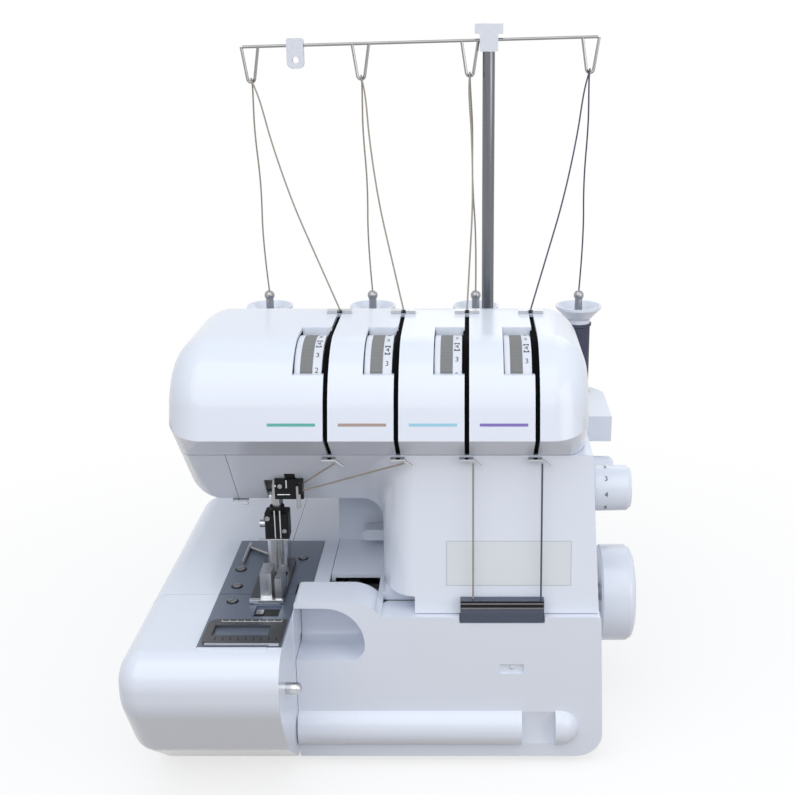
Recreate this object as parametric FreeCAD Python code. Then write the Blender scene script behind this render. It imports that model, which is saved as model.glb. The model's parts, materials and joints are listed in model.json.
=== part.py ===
"""Domestic four-thread overlocker, built as separate pieces in millimetres.

X runs to the right, Y to the back, Z up. The origin lies on the table under the middle of the machine.
"""
import FreeCAD, Part
import math
import os

V = FreeCAD.Vector

# Clearances shared by every fit
wall = 2.6
seam = 0.4
run_gap = 0.05
move_gap = 0.6
seat_gap = 0.3
side_hole_gap = 2.0

# Feet and tray
foot_height = 3.5
foot_radius = 10.0
tray_thick = 3.5
tray_top = foot_height + tray_thick

# Bed and nose
bed_left = -165.0
bed_right = -46.4
bed_top = 113.0
bed_rear = 118.0
bed_end_round = 15.0
nose_front = -156.0
nose_right = -65.2
nose_seam_y = -63.4
nose_hinge_x = -159.0
nose_hinge_y = -70.0
knuckle_radius = 5.6

# Column
column_right_foot = 139.5
column_right_top = 129.0
column_front = -84.0
column_front_top = -67.5
column_rear = 118.0
column_left = -46.0
cover_line = 110.0
rear_split_y = 62.0

# Head
head_left = -142.0
head_right = 126.0
head_top = 286.0
head_front = -89.0
head_rear = 75.0
head_under = 170.0
head_line = 214.0
chamfer_top = 231.0
head_top_front = -73.0
head_front_round = 50.0
head_rear_round = 46.0
head_end_round = 25.0
under_front = -33.0
face_cover_x = -107.0

# Throat between head and bed
throat_right = -9.0
throat_right_front = 14.0
throat_rear = 25.0
throat_round = 14.0

# Thread slots and tension dials
slot_first = -40.0
slot_pitch = 44.0
slot_count = 4
slot_width = 3.0
slot_rear = 20.0
window_width = 21.0
window_low = 269.0
window_rear = -18.0
dial_y = -37.5
dial_z = 245.5
dial_radius = 39.0
dial_side_gap = 1.5
post_radius = 4.0
disc_radius = 12.0

# Needle, presser and plates
needle_x = -80.0
needle_y = -41.0
needle_spacing = 3.5
needle_radius = 0.7
needle_bar_radius = 3.0
presser_x = -84.0
presser_y = -16.0
presser_radius = 4.0
plate_left = -118.0
plate_right = -57.0
plate_notch_x = -67.2
plate_notch_y = -48.0
plate_rear = 22.0
plate_front = -134.0
plate_thick = 2.0
plate_proud = 0.3

# Front cover
cover_left = -64.5
cover_right_foot = 139.6
cover_right_top = 135.5
cover_face = -89.0
cover_back = -60.8
cover_foot = 5.0
cover_corner = 17.0
hood_top = 121.0
hood_right = -20.0
hood_fall = 12.0
scoop_floor = 78.0
scoop_right = -19.0
scoop_depth_y = -57.0
ridge_z = 27.0
ridge_y = -83.5
ridge_radius = 14.0
ridge_end = 110.0
notch_left = 84.6
notch_right = 107.0
cover_hinge_y = -83.0
cover_hinge_z = 9.0
cover_pin_radius = 1.6

# Drive
shaft_y = -12.0
shaft_z = 89.0
shaft_radius = 6.0
handwheel_radius = 34.0
handwheel_face = 165.0
handwheel_width = 24.0
pulley_x = 112.0
pulley_width = 9.0
pulley_radius = 24.0
motor_y = 60.0
motor_z = 46.0
motor_radius = 26.0
motor_pulley_radius = 9.0
belt_thick = 2.0

# Side dials
length_dial_y = -19.0
length_dial_z = 172.0
length_dial_radius = 16.0
length_dial_face = 160.0
feed_dial_y = 61.0
feed_dial_z = 152.0
feed_dial_radius = 13.0
feed_dial_face = 158.0
dial_shaft_radius = 4.0

# Frame casting
frame_floor = 6.0
frame_wall_x = 98.0
frame_wall = 8.0
looper_plate_y = -28.0
arm_low = head_under + 4.0
arm_high = dial_z - dial_radius - 6.5
arm_front = -26.0
arm_rear = 24.0
boss_low = head_under + 0.6 * (head_line - head_under)
boss_high = head_line + 10.0

# Spool stand and mast
stand_half = 158.0
stand_low = 172.0
stand_thick = 20.0
stand_rear = 156.0
spool_y = 138.0
spool_left = -108.0
spool_right = 136.0
spool_radius = 10.5
spool_height = 58.0
cap_radius = 18.0
mast_x = 63.5
mast_y = 101.0
mast_radius = 4.5
mast_wall = 1.5
mast_tube_top = 266.0
mast_foot = 246.0
mast_head_low = 458.0
mast_head_high = 477.0
bar_left = -112.0
bar_right = 141.0
bar_left_z = 461.0
bar_right_z = 468.0
wire_radius = 1.1
loop_half = 6.0
loop_apex = 39.0
loop_round = 2.6
thread_radius = 0.6

parts = {}


# Small builders
def box(x0, x1, y0, y1, z0, z1):
    return Part.makeBox(x1 - x0, y1 - y0, z1 - z0, V(x0, y0, z0))


def rod_x(x0, x1, y, z, r):
    return Part.makeCylinder(r, x1 - x0, V(x0, y, z), V(1, 0, 0))


def rod_y(x, y0, y1, z, r):
    return Part.makeCylinder(r, y1 - y0, V(x, y0, z), V(0, 1, 0))


def rod_z(x, y, z0, z1, r):
    return Part.makeCylinder(r, z1 - z0, V(x, y, z0), V(0, 0, 1))


def on_plane(plane, u, v, at):
    if plane == "yz":
        return V(at, u, v)
    if plane == "xz":
        return V(u, at, v)
    return V(u, v, at)


def outline(corners, plane, at):
    """Closed wire through (u, v) or (u, v, round) corners, each rounded by a tangent arc."""
    points = [on_plane(plane, c[0], c[1], at) for c in corners]
    rounds = [c[2] if len(c) > 2 else 0.0 for c in corners]
    return rounded_wire(points, rounds, True)


def rounded_wire(points, rounds, closed):
    """Straight runs joined by tangent arcs of the given radii."""
    count = len(points)
    starts = []
    ends = []
    arcs = []
    for i, point in enumerate(points):
        inner = closed or 0 < i < count - 1
        if not inner or rounds[i] <= 0:
            starts.append(point)
            ends.append(point)
            arcs.append(None)
            continue
        back = (points[i - 1] - point).normalize()
        ahead = (points[(i + 1) % count] - point).normalize()
        half = back.getAngle(ahead) / 2
        reach = rounds[i] / math.tan(half)
        middle = (back + ahead).normalize()
        near = point + middle * (rounds[i] / math.sin(half) - rounds[i])
        starts.append(point + back * reach)
        ends.append(point + ahead * reach)
        arcs.append(near)
    edges = []
    for i in range(count):
        if arcs[i] is not None:
            edges.append(Part.Arc(starts[i], arcs[i], ends[i]).toShape())
        if i + 1 < count or closed:
            leg_end = starts[(i + 1) % count]
            if ends[i].distanceToPoint(leg_end) > 1e-6:
                edges.append(Part.LineSegment(ends[i], leg_end).toShape())
    return Part.Wire(edges)


def slab(corners, plane, low, high):
    """Prism of a rounded outline between two planes."""
    face = Part.Face(outline(corners, plane, low))
    step = on_plane(plane, 0, 0, high - low)
    return face.extrude(step)


def inset_slab(corners, plane, low, high, inset):
    """The same prism drawn in by a wall."""
    wire = outline(corners, plane, low)
    if inset:
        wire = wire.makeOffset2D(-inset, 2, False, False)
    return Part.Face(wire).extrude(on_plane(plane, 0, 0, high - low))


def revolve_z(profile, x, y):
    """Turned piece from (radius, z) corners about a vertical axis."""
    wire = Part.makePolygon([V(x + r, y, z) for r, z in profile + profile[:1]])
    return Part.Face(wire).revolve(V(x, y, 0), V(0, 0, 1), 360)


def revolve_x(profile, y, z):
    """Turned piece from (x, radius) corners about an axis along X."""
    wire = Part.makePolygon([V(x, y, z + r) for x, r in profile + profile[:1]])
    return Part.Face(wire).revolve(V(0, y, z), V(1, 0, 0), 360)


def fuse(shapes):
    whole = shapes[0]
    for shape in shapes[1:]:
        whole = whole.fuse(shape)
    return whole.removeSplitter()


def cut(shape, tools):
    for tool in tools:
        shape = shape.cut(tool)
    return shape


def edges_at_x(shape, x, skip_low_z):
    """Edges of the end face at x, leaving out those that lie on the given lowest height."""
    chosen = []
    for edge in shape.Edges:
        span = edge.BoundBox
        if abs(span.XMin - x) < 1e-4 and abs(span.XMax - x) < 1e-4:
            if span.ZMax > skip_low_z + 1e-3:
                chosen.append(edge)
    return chosen


def keep(name, *solids):
    """Store one piece, or a group of like pieces, under its name."""
    loose = []
    for shape in solids:
        loose.extend(shape.Solids)
    parts[name] = loose[0] if len(loose) == 1 else Part.makeCompound(loose)


# Bed and nose
nose_round = 20.0
nose_belly_z = 80.0
nose_belly_round = 30.0
nose_tuck_y = nose_front + 25.0
nose_tuck_z = 38.0
nose_foot_y = nose_front + 64.0
bed_rear_round = 12.0
far = 400.0


def bed_block(inset, foot, right):
    """Outer or inner form of the bed, nose included, with its left end rounded over."""
    corners = [
        (bed_rear, foot),
        (bed_rear, bed_top, bed_rear_round),
        (nose_front, bed_top, nose_round),
        (nose_front, nose_belly_z, nose_belly_round),
        (nose_tuck_y, nose_tuck_z, nose_belly_round),
        (nose_foot_y, foot),
    ]
    left = bed_left + inset
    block = inset_slab(corners, "yz", left, right, inset)
    return block.makeFillet(bed_end_round - inset, edges_at_x(block, left, foot + inset))


bed_outer = bed_block(0.0, tray_top, bed_right)
nose_back = nose_seam_y - move_gap / 2
bed_front = nose_seam_y + move_gap / 2
plate_under = bed_top + plate_proud - plate_thick
ledge = 6.0
pin_y = -130.0
pin_z = 82.0
pin_radius = 3.8


def bed_casing():
    hollow = bed_block(wall, tray_top - 2 * wall, bed_right + far)
    zone = box(bed_left - far, bed_right, bed_front, far, 0, far)
    bulkhead_right = plate_left - ledge
    bulkhead = box(bed_left, bulkhead_right, bed_front, bed_front + wall, 0, far)
    skin = bed_outer.cut(hollow).common(zone)
    skin = fuse([skin, bed_outer.common(bulkhead)])
    gap = seam / 2
    recess = box(plate_left - gap, plate_right + gap, -far, plate_rear + gap, plate_under, far)
    under = box(plate_left + ledge, plate_right - ledge, -far, plate_rear - ledge, tray_top, far)
    bay = box(plate_notch_x, far, -far, plate_notch_y, tray_top, far)
    skin = cut(skin, [recess, under, bay])
    lugs = [nose_lug(low) for low in lug_heights]
    return fuse([skin] + lugs)


lug_thick = 6.0
lug_heights = [24.0, 84.0]
lug_radius = 4.0
nose_pin_radius = 2.0


def nose_lug(low):
    """Ear on the bed's bulkhead that carries the nose's hinge pin."""
    high = low + lug_thick
    ear = box(nose_hinge_x - lug_radius, nose_hinge_x + lug_radius, nose_hinge_y, bed_front + wall, low, high)
    ear = ear.fuse(rod_z(nose_hinge_x, nose_hinge_y, low, high, lug_radius))
    return ear.cut(rod_z(nose_hinge_x, nose_hinge_y, low, high, nose_pin_radius))


def cloth_plate():
    """Nose of the bed, which swings out to the left on a vertical pin."""
    hollow = bed_block(wall, tray_top, nose_right - wall)
    zone = box(bed_left - far, nose_right, -far, nose_back, 0, far)
    nose = bed_outer.common(zone).cut(hollow)
    corner = box(bed_left - far, nose_hinge_x, nose_hinge_y, far, 0, far)
    sweep = bed_front - nose_hinge_y
    clear = [rod_z(nose_hinge_x, nose_hinge_y, z - move_gap, z + lug_thick + move_gap, sweep + 3)
             for z in lug_heights]
    knuckle = rod_z(nose_hinge_x, nose_hinge_y, tray_top, bed_top, knuckle_radius).common(bed_outer)
    nose = fuse([nose.cut(corner), knuckle])
    bore = rod_z(nose_hinge_x, nose_hinge_y, 0, lug_heights[-1] + 2 * lug_thick, nose_pin_radius + run_gap)
    gap = seam / 2
    recess = box(plate_left - gap, far, plate_front - gap, far, plate_under, far)
    pin_hole = rod_x(nose_right - 2 * wall, far, pin_y, pin_z, pin_radius + run_gap)
    return cut(nose, clear + [bore, recess, pin_hole])


keep("bed_casing", bed_casing())
keep("cloth_plate", cloth_plate())
pin_top = lug_heights[-1] + lug_thick
nose_pin = rod_z(nose_hinge_x, nose_hinge_y, lug_heights[0], pin_top, nose_pin_radius)


# Column, arm and head
under_slope = (head_line - head_under) / (under_front - column_front_top)


def head_block(inset):
    corners = [
        (head_rear, head_under),
        (head_rear, head_top, head_rear_round),
        (head_top_front, head_top, head_front_round),
        (head_front, chamfer_top),
        (under_front, head_under),
    ]
    left = head_left + inset
    right = head_right - inset
    block = inset_slab(corners, "yz", left, right, inset)
    ends = edges_at_x(block, left, 0) + edges_at_x(block, right, 0)
    block = block.makeFillet(head_end_round - inset, ends)
    return block.cut(wedge_block(inset))


def step_in(start, end, inset):
    """Move from one corner to the next, turned a quarter into the material, as an offset."""
    run = math.hypot(end[0] - start[0], end[1] - start[1])
    return ((end[1] - start[1]) / run * inset, (start[0] - end[0]) / run * inset)


def wedge_block(inset):
    """What is taken off under the head: the slanted arm face and the shaded chamfer above it."""
    low = (under_front, head_under)
    middle = (column_front_top, head_line)
    high = (head_front, chamfer_top)
    first = step_in(low, middle, inset)
    second = step_in(middle, high, inset)
    outside = 4 * head_end_round
    corners = [
        (low[0] + first[0], low[1] + first[1]),
        (middle[0] + (first[0] + second[0]) / 2, middle[1] + (first[1] + second[1]) / 2),
        (high[0] + second[0], high[1] + second[1]),
        (high[0] - outside, high[1]),
        (high[0] - outside, low[1] - outside),
        (low[0], low[1] - outside),
    ]
    return slab(corners, "yz", head_left - far, head_right + far)


def column_block(inset, foot):
    side = [
        (column_front, foot),
        (column_front, cover_line),
        (column_front_top, head_line),
        (head_rear, head_line),
        (head_rear, stand_low - seam),
        (column_rear, stand_low - seam),
        (column_rear, foot),
    ]
    front = [
        (column_left, foot),
        (column_left, head_line),
        (column_right_top, head_line),
        (column_right_foot, foot),
    ]
    across = inset_slab(side, "yz", column_left - far, far, inset)
    along = inset_slab(front, "xz", -far, far, inset)
    return across.common(along)


# Mouth of the throat, which widens in a quarter ellipse up to the column's front
front_lean = (column_front_top - column_front) / (head_line - cover_line)
mouth_deep = under_front - column_front - front_lean * (head_under - cover_line)
mouth_wide = throat_right_front - throat_right
mouth_steps = 6
mouth_past = 8.0


def front_at(z):
    return column_front + front_lean * (z - cover_line)


def throat_section(behind, widen, grow):
    """Outline of the throat in a plane that lies behind the column's front and leans with it."""
    ahead = max(0.0, mouth_deep - behind) / (1 + under_slope * front_lean)
    right = throat_right + widen + grow
    top = head_under + under_slope * ahead + grow
    left = column_left - throat_round
    low = bed_top - grow
    corners = [(left, low), (right, low), (right, top), (left, top)]
    points = [V(x, front_at(z) + behind, z) for x, z in corners]
    return rounded_wire(points, [0.0, 0.0, throat_round + grow, 0.0], True)


def throat_block(grow):
    sections = [throat_section(mouth_deep, 0.0, grow)]
    for i in range(1, mouth_steps + 1):
        turn = math.pi / 2 * i / mouth_steps
        behind = mouth_deep * (1 - math.sin(turn))
        widen = mouth_wide * (1 - math.cos(turn))
        sections.append(throat_section(behind, widen, grow))
    sections.append(throat_section(-mouth_past, mouth_wide, grow))
    mouth = Part.makeLoft(sections, True, True).common(box(-far, far, -far, far, 0, head_line))
    deep = Part.Face(sections[0]).extrude(V(0, throat_rear - under_front + 2 * mouth_deep, 0))
    return mouth.fuse(deep.common(box(-far, far, -far, throat_rear + grow, 0, far)))


def body_block(inset, foot):
    """Column and head as one form, less the throat and the bay behind the front cover."""
    bay_back = cover_back + move_gap + inset
    bay = box(-far, far, -far, bay_back, -far, cover_line + inset)
    hood_bay = box(-far, throat_right_front + inset, -far, bay_back, -far, hood_top + inset)
    whole = head_block(inset).fuse(column_block(inset, foot))
    return cut(whole, [throat_block(inset), bay, hood_bay])


body_outer = body_block(0.0, tray_top)
body_shell = body_outer.cut(body_block(wall, tray_top - 2 * wall))
half = seam / 2
above_line = box(-far, far, -far, far, head_line + half, far)
below_line = box(-far, far, -far, far, -far, head_line - half)
left_end = box(-far, face_cover_x - half, -far, far, -far, far)
right_of_end = box(face_cover_x + half, far, -far, far, -far, far)
front_half = box(-far, far, -far, rear_split_y - half, -far, far)
rear_half = box(-far, far, rear_split_y + half, far, -far, far)
slots = [slot_first + slot_pitch * i for i in range(slot_count)]
port_half = 7.0
needle_port = box(needle_x - port_half, needle_x + port_half, needle_y - port_half, under_front + 2 * wall,
                  head_under - wall, boss_low)
presser_port = rod_z(presser_x, presser_y, head_under - wall, boss_low, presser_radius + side_hole_gap)
guide_front = needle_y - 12.0
guide_thick_y = 2.4
guide_back = guide_front + guide_thick_y
guide_left = needle_x + 1.0
guide_right = needle_x + 20.0
guide_top = head_under + under_slope * (under_front - guide_back) - 1.0
guide_tall = 14.0
stem_left = needle_x + port_half + 1.0
stem_right = stem_left + 6.0
stem_low = guide_top - 7.0
guide_slit = box(stem_left - move_gap, stem_right + move_gap, guide_front, needle_y + move_gap,
                 stem_low - move_gap, boss_low)
ports = [needle_port, presser_port, guide_slit]


def head_cover():
    """Upper shell with a thread slot and a dial window for each thread."""
    cover = body_shell.common(above_line)
    for x in slots:
        side = slot_width / 2
        slot = box(x - side, x + side, -far, slot_rear, 0, far)
        window = box(x - window_width, x, -far, window_rear, window_low, far)
        cover = cut(cover, [slot, window])
    return cover


keep("head_cover", head_cover())
keep("face_cover", cut(body_shell.common(below_line).common(left_end), ports))


def liner_band():
    """Dark strip just under the head's skin, seen through the thread slots."""
    outer = head_block(wall + seam / 2)
    inner = head_block(wall + seam / 2 + liner_thick)
    zone = box(-far, far, -far, slot_rear + liner_lap, head_line + wall, far)
    return outer.cut(inner).common(zone)


liner_thick = 2.0
liner_lap = 3.0
liner_half = slot_width / 2 + 0.9
band = liner_band()
keep("slot_liners", *[band.common(box(x - liner_half, x + liner_half, -far, far, 0, far)) for x in slots])

# Places on the right side of the column
power_y0 = 2.0
power_y1 = 58.0
power_z0 = 14.0
power_z1 = 44.0
lifter_x = 20.0
lifter_y = 14.0
lifter_z = 124.0
lifter_tip = -28.0
lifter_half = 6.0
lifter_low = 4.0
lifter_rise = 14.0
bay_margin = 10.0
pit_margin = 5.0


def front_casing():
    skin = body_shell.common(below_line).common(right_of_end).common(front_half)
    skin = cut(skin, ports)
    bay_back = cover_back + move_gap
    looper_bay = box(column_left - far, column_right_foot - 2 * bay_margin, -far, bay_back + 2 * wall,
                     -far, cover_line - wall)
    bed_side = box(-far, column_left + 2 * wall, -far, throat_rear - wall, -far, bed_top - 2 * wall)
    pit = box(-far, throat_right - wall, -far, looper_plate_y - pit_margin, cover_line - bay_margin,
              bed_top + wall)
    shaft_hole = rod_x(column_right_top - bay_margin, far, shaft_y, shaft_z, shaft_radius + side_hole_gap)
    length_hole = rod_x(column_right_top - bay_margin, far, length_dial_y, length_dial_z,
                        dial_shaft_radius + side_hole_gap)
    feed_hole = rod_x(column_right_top - bay_margin, far, feed_dial_y, feed_dial_z,
                      dial_shaft_radius + side_hole_gap)
    power_hole = box(column_right_top - bay_margin, far, power_y0, power_y1, power_z0, power_z1)
    lifter_slot = box(throat_right - bay_margin, throat_right + bay_margin, lifter_y - lifter_half - move_gap,
                      lifter_y + lifter_half + move_gap, lifter_z - lifter_low - move_gap,
                      lifter_z + lifter_low + lifter_rise)
    tools = [looper_bay, bed_side, pit, shaft_hole, length_hole, feed_hole, power_hole, lifter_slot]
    return cut(skin, tools)


mast_tube_radius = mast_radius + run_gap + mast_wall


def rear_cover():
    skin = body_shell.common(below_line).common(right_of_end).common(rear_half)
    feed_hole = rod_x(column_right_top - bay_margin, far, feed_dial_y, feed_dial_z,
                      dial_shaft_radius + side_hole_gap)
    mast_hole = rod_z(mast_x, mast_y, stand_low - 2 * wall - seam, stand_low, mast_tube_radius + seam)
    return cut(skin, [feed_hole, mast_hole])


keep("front_casing", front_casing())
keep("rear_cover", rear_cover())

# Base tray with the ears of the front cover's hinge
tray_edge = 1.0
tray_front = -78.0
ear_half = 2.5
ear_radius = 3.1
ear_places = [-48.0, 118.0]
foot_places = [(-140.0, -40.0), (-140.0, 80.0), (118.0, -62.0), (118.0, 92.0)]


def base_tray():
    left = bed_left + bed_end_round / 2
    right = column_right_foot - tray_edge
    corners = [
        (left, bed_front, foot_radius),
        (column_left, bed_front),
        (column_left, tray_front),
        (right, tray_front, foot_radius),
        (right, column_rear, foot_radius),
        (column_left, column_rear),
        (column_left, bed_rear),
        (left, bed_rear, foot_radius),
    ]
    tray = slab(corners, "xy", foot_height, tray_top)
    for x in ear_places:
        ear = box(x - ear_half, x + ear_half, cover_hinge_y, tray_front + tray_thick, foot_height,
                  cover_hinge_z + ear_radius)
        nose = rod_x(x - ear_half, x + ear_half, cover_hinge_y, cover_hinge_z, ear_radius)
        ear = ear.fuse(nose)
        ear = ear.cut(rod_x(x - ear_half, x + ear_half, cover_hinge_y, cover_hinge_z, cover_pin_radius))
        tray = tray.fuse(ear)
    return tray.removeSplitter()


keep("base_tray", base_tray())
keep("rubber_feet", *[rod_z(x, y, 0, foot_height, foot_radius) for x, y in foot_places])

# Front cover, hinged along its foot
knuckle_width = 8.0
cover_pin_gap = 0.5


def knuckle_spans():
    """Each knuckle sits just outside its ear, on the side away from the middle."""
    spans = []
    for x in ear_places:
        side = -1 if x < 0 else 1
        near = x + side * (ear_half + cover_pin_gap)
        spans.append((min(near, near + side * knuckle_width), max(near, near + side * knuckle_width)))
    return spans


cover_top = cover_line - move_gap


def cover_corners():
    return [
        (cover_left, cover_foot),
        (cover_right_foot, cover_foot, cover_corner),
        (cover_right_top, cover_top, 3.0),
        (hood_right + hood_fall, cover_top, hood_fall),
        (hood_right + hood_fall / 3, hood_top, 2 * hood_fall),
        (cover_left, hood_top, 3.0),
    ]


def scoop_block(grow):
    """Hollow that lets trimmings fall away under the hood."""
    corners = [
        (cover_left - far, scoop_floor - grow),
        (scoop_right + grow, scoop_floor - grow, 10.0 + grow),
        (scoop_right + grow, hood_top - 2 * wall + grow, 26.0 + grow),
        (cover_left - far, hood_top - 2 * wall + grow),
    ]
    back = scoop_depth_y + grow
    block = slab(corners, "xz", cover_face - ridge_radius, back)
    rim = [e for e in block.Edges if abs(e.BoundBox.YMin - back) < 1e-4 and abs(e.BoundBox.YMax - back) < 1e-4
           and e.BoundBox.XMax > cover_left - far + 1]
    return block.makeFillet(scoop_soft + grow, rim)


scoop_soft = 8.0
recess_x = 77.5
recess_z = 71.5
recess_width = 16.0
recess_height = 7.0
recess_depth = 1.5


def front_cover():
    shell = inset_slab(cover_corners(), "xz", cover_face, cover_back, 0.0)
    hollow = inset_slab(cover_corners(), "xz", cover_face + wall, cover_back + wall, wall)
    shell = shell.cut(hollow)
    foot_room = box(-far, far, cover_face + wall, far, 0, cover_hinge_z + ear_radius + move_gap)
    heels = [box(spot - ear_half - move_gap, spot + ear_half + move_gap, cover_face + wall / 2, far, 0,
                 cover_foot + wall) for spot in ear_places]
    swing = rod_x(hood_right + hood_fall, far, cover_hinge_y, cover_hinge_z,
                  cover_line - seam - cover_hinge_z)
    too_far = box(hood_right + hood_fall, far, -far, far, cover_hinge_z, far).cut(swing)
    shell = cut(shell, [foot_room, too_far] + heels)
    behind_scoop = box(cover_left, far, cover_face, scoop_depth_y + wall, scoop_floor - wall, hood_top)
    shell = shell.fuse(scoop_block(wall).common(behind_scoop))
    shell = shell.cut(scoop_block(0.0))
    ridge = rod_x(cover_left, ridge_end, ridge_y, ridge_z, ridge_radius)
    ridge = ridge.fuse(Part.makeSphere(ridge_radius, V(ridge_end, ridge_y, ridge_z)))
    ridge = ridge.common(box(cover_left, far, -far, cover_face + wall, cover_foot, far))
    notch = box(notch_left, notch_right, -far, cover_face, 0, scoop_floor)
    shell = fuse([shell, ridge.cut(notch)])
    for low, high in knuckle_spans():
        arm = box(low, high, cover_face + wall / 2, cover_hinge_y, cover_hinge_z - ear_radius,
                  cover_hinge_z + ear_radius)
        lug = rod_x(low, high, cover_hinge_y, cover_hinge_z, ear_radius).fuse(arm)
        lug = lug.cut(rod_x(low, high, cover_hinge_y, cover_hinge_z, cover_pin_radius + run_gap))
        shell = shell.fuse(lug)
    recess = box(recess_x - recess_width / 2, recess_x + recess_width / 2, -far, cover_face + recess_depth,
                 recess_z - recess_height / 2, recess_z + recess_height / 2)
    pane = box(pane_left - move_gap, pane_right + move_gap, -far, far, pane_low - move_gap, far)
    return cut(shell, [recess, pane]).removeSplitter()


pane_left = 43.7
pane_right = 98.0
pane_low = 106.0
pane_high = 121.5
pane_face = cover_face - 0.6
keep("front_cover", front_cover())
hinge_pins = []
for spot, span in zip(ear_places, knuckle_spans()):
    low = min(span[0], spot - ear_half)
    high = max(span[1], spot + ear_half)
    hinge_pins.append(rod_x(low, high, cover_hinge_y, cover_hinge_z, cover_pin_radius))

# Smoked thread window, held on the column's panel and hooked over its lower edge
pane = box(pane_left, pane_right, pane_face, cover_back, pane_low, pane_high)
lens = pane.cut(body_outer).common(box(-far, far, -far, column_front + move_gap, 0, far))
keep("thread_window", max(lens.Solids, key=lambda s: s.Volume))

# Metal plates of the bed
plate_top = bed_top + plate_proud
feed_slot = (-92.0, -83.0, -57.0, -7.0)
needle_hole_half = 3.6


def needle_plate():
    plate = box(plate_left, plate_right, bed_front, plate_rear, plate_under, plate_top)
    notch = box(plate_notch_x, far, -far, plate_notch_y, 0, far)
    feed = box(feed_slot[0], feed_slot[1], feed_slot[2], feed_slot[3], 0, far)
    hole = box(feed_slot[1] - seam, needle_x + needle_hole_half, needle_y - needle_hole_half,
               needle_y + needle_hole_half, 0, far)
    return cut(plate, [notch, feed, hole])


front_plate_right = nose_right - 0.8
window_hole = (-90.0, -73.0, -95.0, -80.0)
guide_rear = -102.0
guide_thick = 2.0
guide_frame = 5.0


def front_plate():
    plate = box(plate_left, front_plate_right, plate_front, nose_back, plate_under, plate_top)
    hole = box(window_hole[0], window_hole[1], window_hole[2], window_hole[3], plate_under + seam, far)
    return plate.cut(hole)


def seam_guide():
    low = plate_top
    high = plate_top + guide_thick
    corners = [
        (plate_left + 2, plate_front + 1, 6.0),
        (front_plate_right, plate_front + 1, 2.0),
        (front_plate_right, guide_rear, 2.0),
        (plate_left + 2, guide_rear, 6.0),
    ]
    frame = slab(corners, "xy", low, high)
    window = box(plate_left + 2 + guide_frame, front_plate_right - 2 * guide_frame,
                 plate_front + 1 + 2 * guide_frame, guide_rear - 1.6 * guide_frame, low, high)
    return frame.cut(window)


keep("needle_plate", needle_plate())
keep("front_plate", front_plate())
keep("seam_guide", seam_guide())

# Stitch finger lever: a bent wire on the plate
lever_wire = 1.1
lever_x = -110.0
lever_z = plate_top + lever_wire + seat_gap
lever = rod_y(lever_x, -18.0, 14.0, lever_z, lever_wire)
branch = Part.makeCylinder(lever_wire, 20.0, V(lever_x, 8.0, lever_z), V(0.8, -0.6, 0))
keep("stitch_finger_lever", fuse([lever, branch]))

# Latch pin in the nose's end wall
pin_out = 6.5
pin_length = 20.0
pin_tip = nose_right + pin_out
latch = rod_x(pin_tip - pin_length, pin_tip, pin_y, pin_z, pin_radius)
collar_face = nose_right - wall - seat_gap
collar = rod_x(collar_face - 3.0, collar_face, pin_y, pin_z, pin_radius + 2.5)
keep("latch_pin", fuse([latch, Part.makeSphere(pin_radius, V(pin_tip, pin_y, pin_z)), collar]))

# Needle bar with its clamp and needles
clamp_high = head_under - 6.0
clamp_low = clamp_high - 18.0
neck_high = clamp_high + 4.0
clamp_half = 8.0
clamp_deep = 7.0
bar_top = 258.0
needle_tip = bed_top
bar = rod_z(needle_x, needle_y, clamp_low + 6, bar_top, needle_bar_radius)
keep("needle_bar", bar)
clamp = slab([
    (needle_x - clamp_half, needle_y - clamp_deep, 2.0),
    (needle_x + clamp_half, needle_y - clamp_deep, 2.0),
    (needle_x + clamp_half, needle_y + clamp_deep, 2.0),
    (needle_x - clamp_half, needle_y + clamp_deep, 2.0),
], "xy", clamp_low, clamp_high)
clamp_middle = (clamp_low + clamp_high) / 2
clamp_screw = rod_x(needle_x - clamp_half - 4, needle_x - clamp_half, needle_y, clamp_middle, 2.6)
needle_places = [needle_x - needle_spacing / 2, needle_x + needle_spacing / 2]
needles = []
for x in needle_places:
    shank = rod_z(x, needle_y, needle_tip + 6, clamp_low + 4, needle_radius)
    point = Part.makeCone(0.1, needle_radius, 6, V(x, needle_y, needle_tip), V(0, 0, 1))
    needles.append(shank.fuse(point))
neck = rod_z(needle_x, needle_y, clamp_high, neck_high, needle_bar_radius + 2)
clamp = cut(fuse([clamp, neck, clamp_screw]), [bar] + needles)
keep("needle_clamp", clamp)
keep("needles", *needles)

# Presser bar and foot
foot_low = plate_top + seat_gap
sole_thick = 2.4
sole_left = -95.0
sole_right = -73.0
sole_front = -78.0
sole_rear = -12.0
toe_high = 134.0
toe_wide = 7.5
toe_thin = 4.0
ankle_high = 146.0
presser_bar = rod_z(presser_x, presser_y, ankle_high - 16, bar_top, presser_radius)
keep("presser_bar", presser_bar)


def presser_foot():
    top = foot_low + sole_thick
    corners = [(sole_left, sole_front, 4.0), (sole_right, sole_front, 4.0), (sole_right, sole_rear, 3.0),
               (sole_left, sole_rear, 3.0)]
    sole = slab(corners, "xy", foot_low, top)
    slot = box(needle_x - 4.4, needle_x + 4.4, needle_y - 6, needle_y + 6, 0, top)
    wide_right = needle_x - 0.5
    thin_left = needle_x + 2.0
    wide_toe = box(wide_right - toe_wide, wide_right, sole_front + 3, needle_y - 18, top, toe_high)
    thin_toe = box(thin_left, thin_left + toe_thin, sole_front + 1, needle_y - 14, top, toe_high - 3)
    ankle = slab([(presser_x - 7, presser_y - 9, 3.0), (presser_x + 7, presser_y - 9, 3.0),
                  (presser_x + 7, presser_y + 4), (presser_x - 7, presser_y + 4)], "xy", top, ankle_high)
    ankle = ankle.cut(presser_bar)
    return fuse([sole.cut(slot), wide_toe, thin_toe, ankle])


keep("presser_foot", presser_foot())

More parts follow.
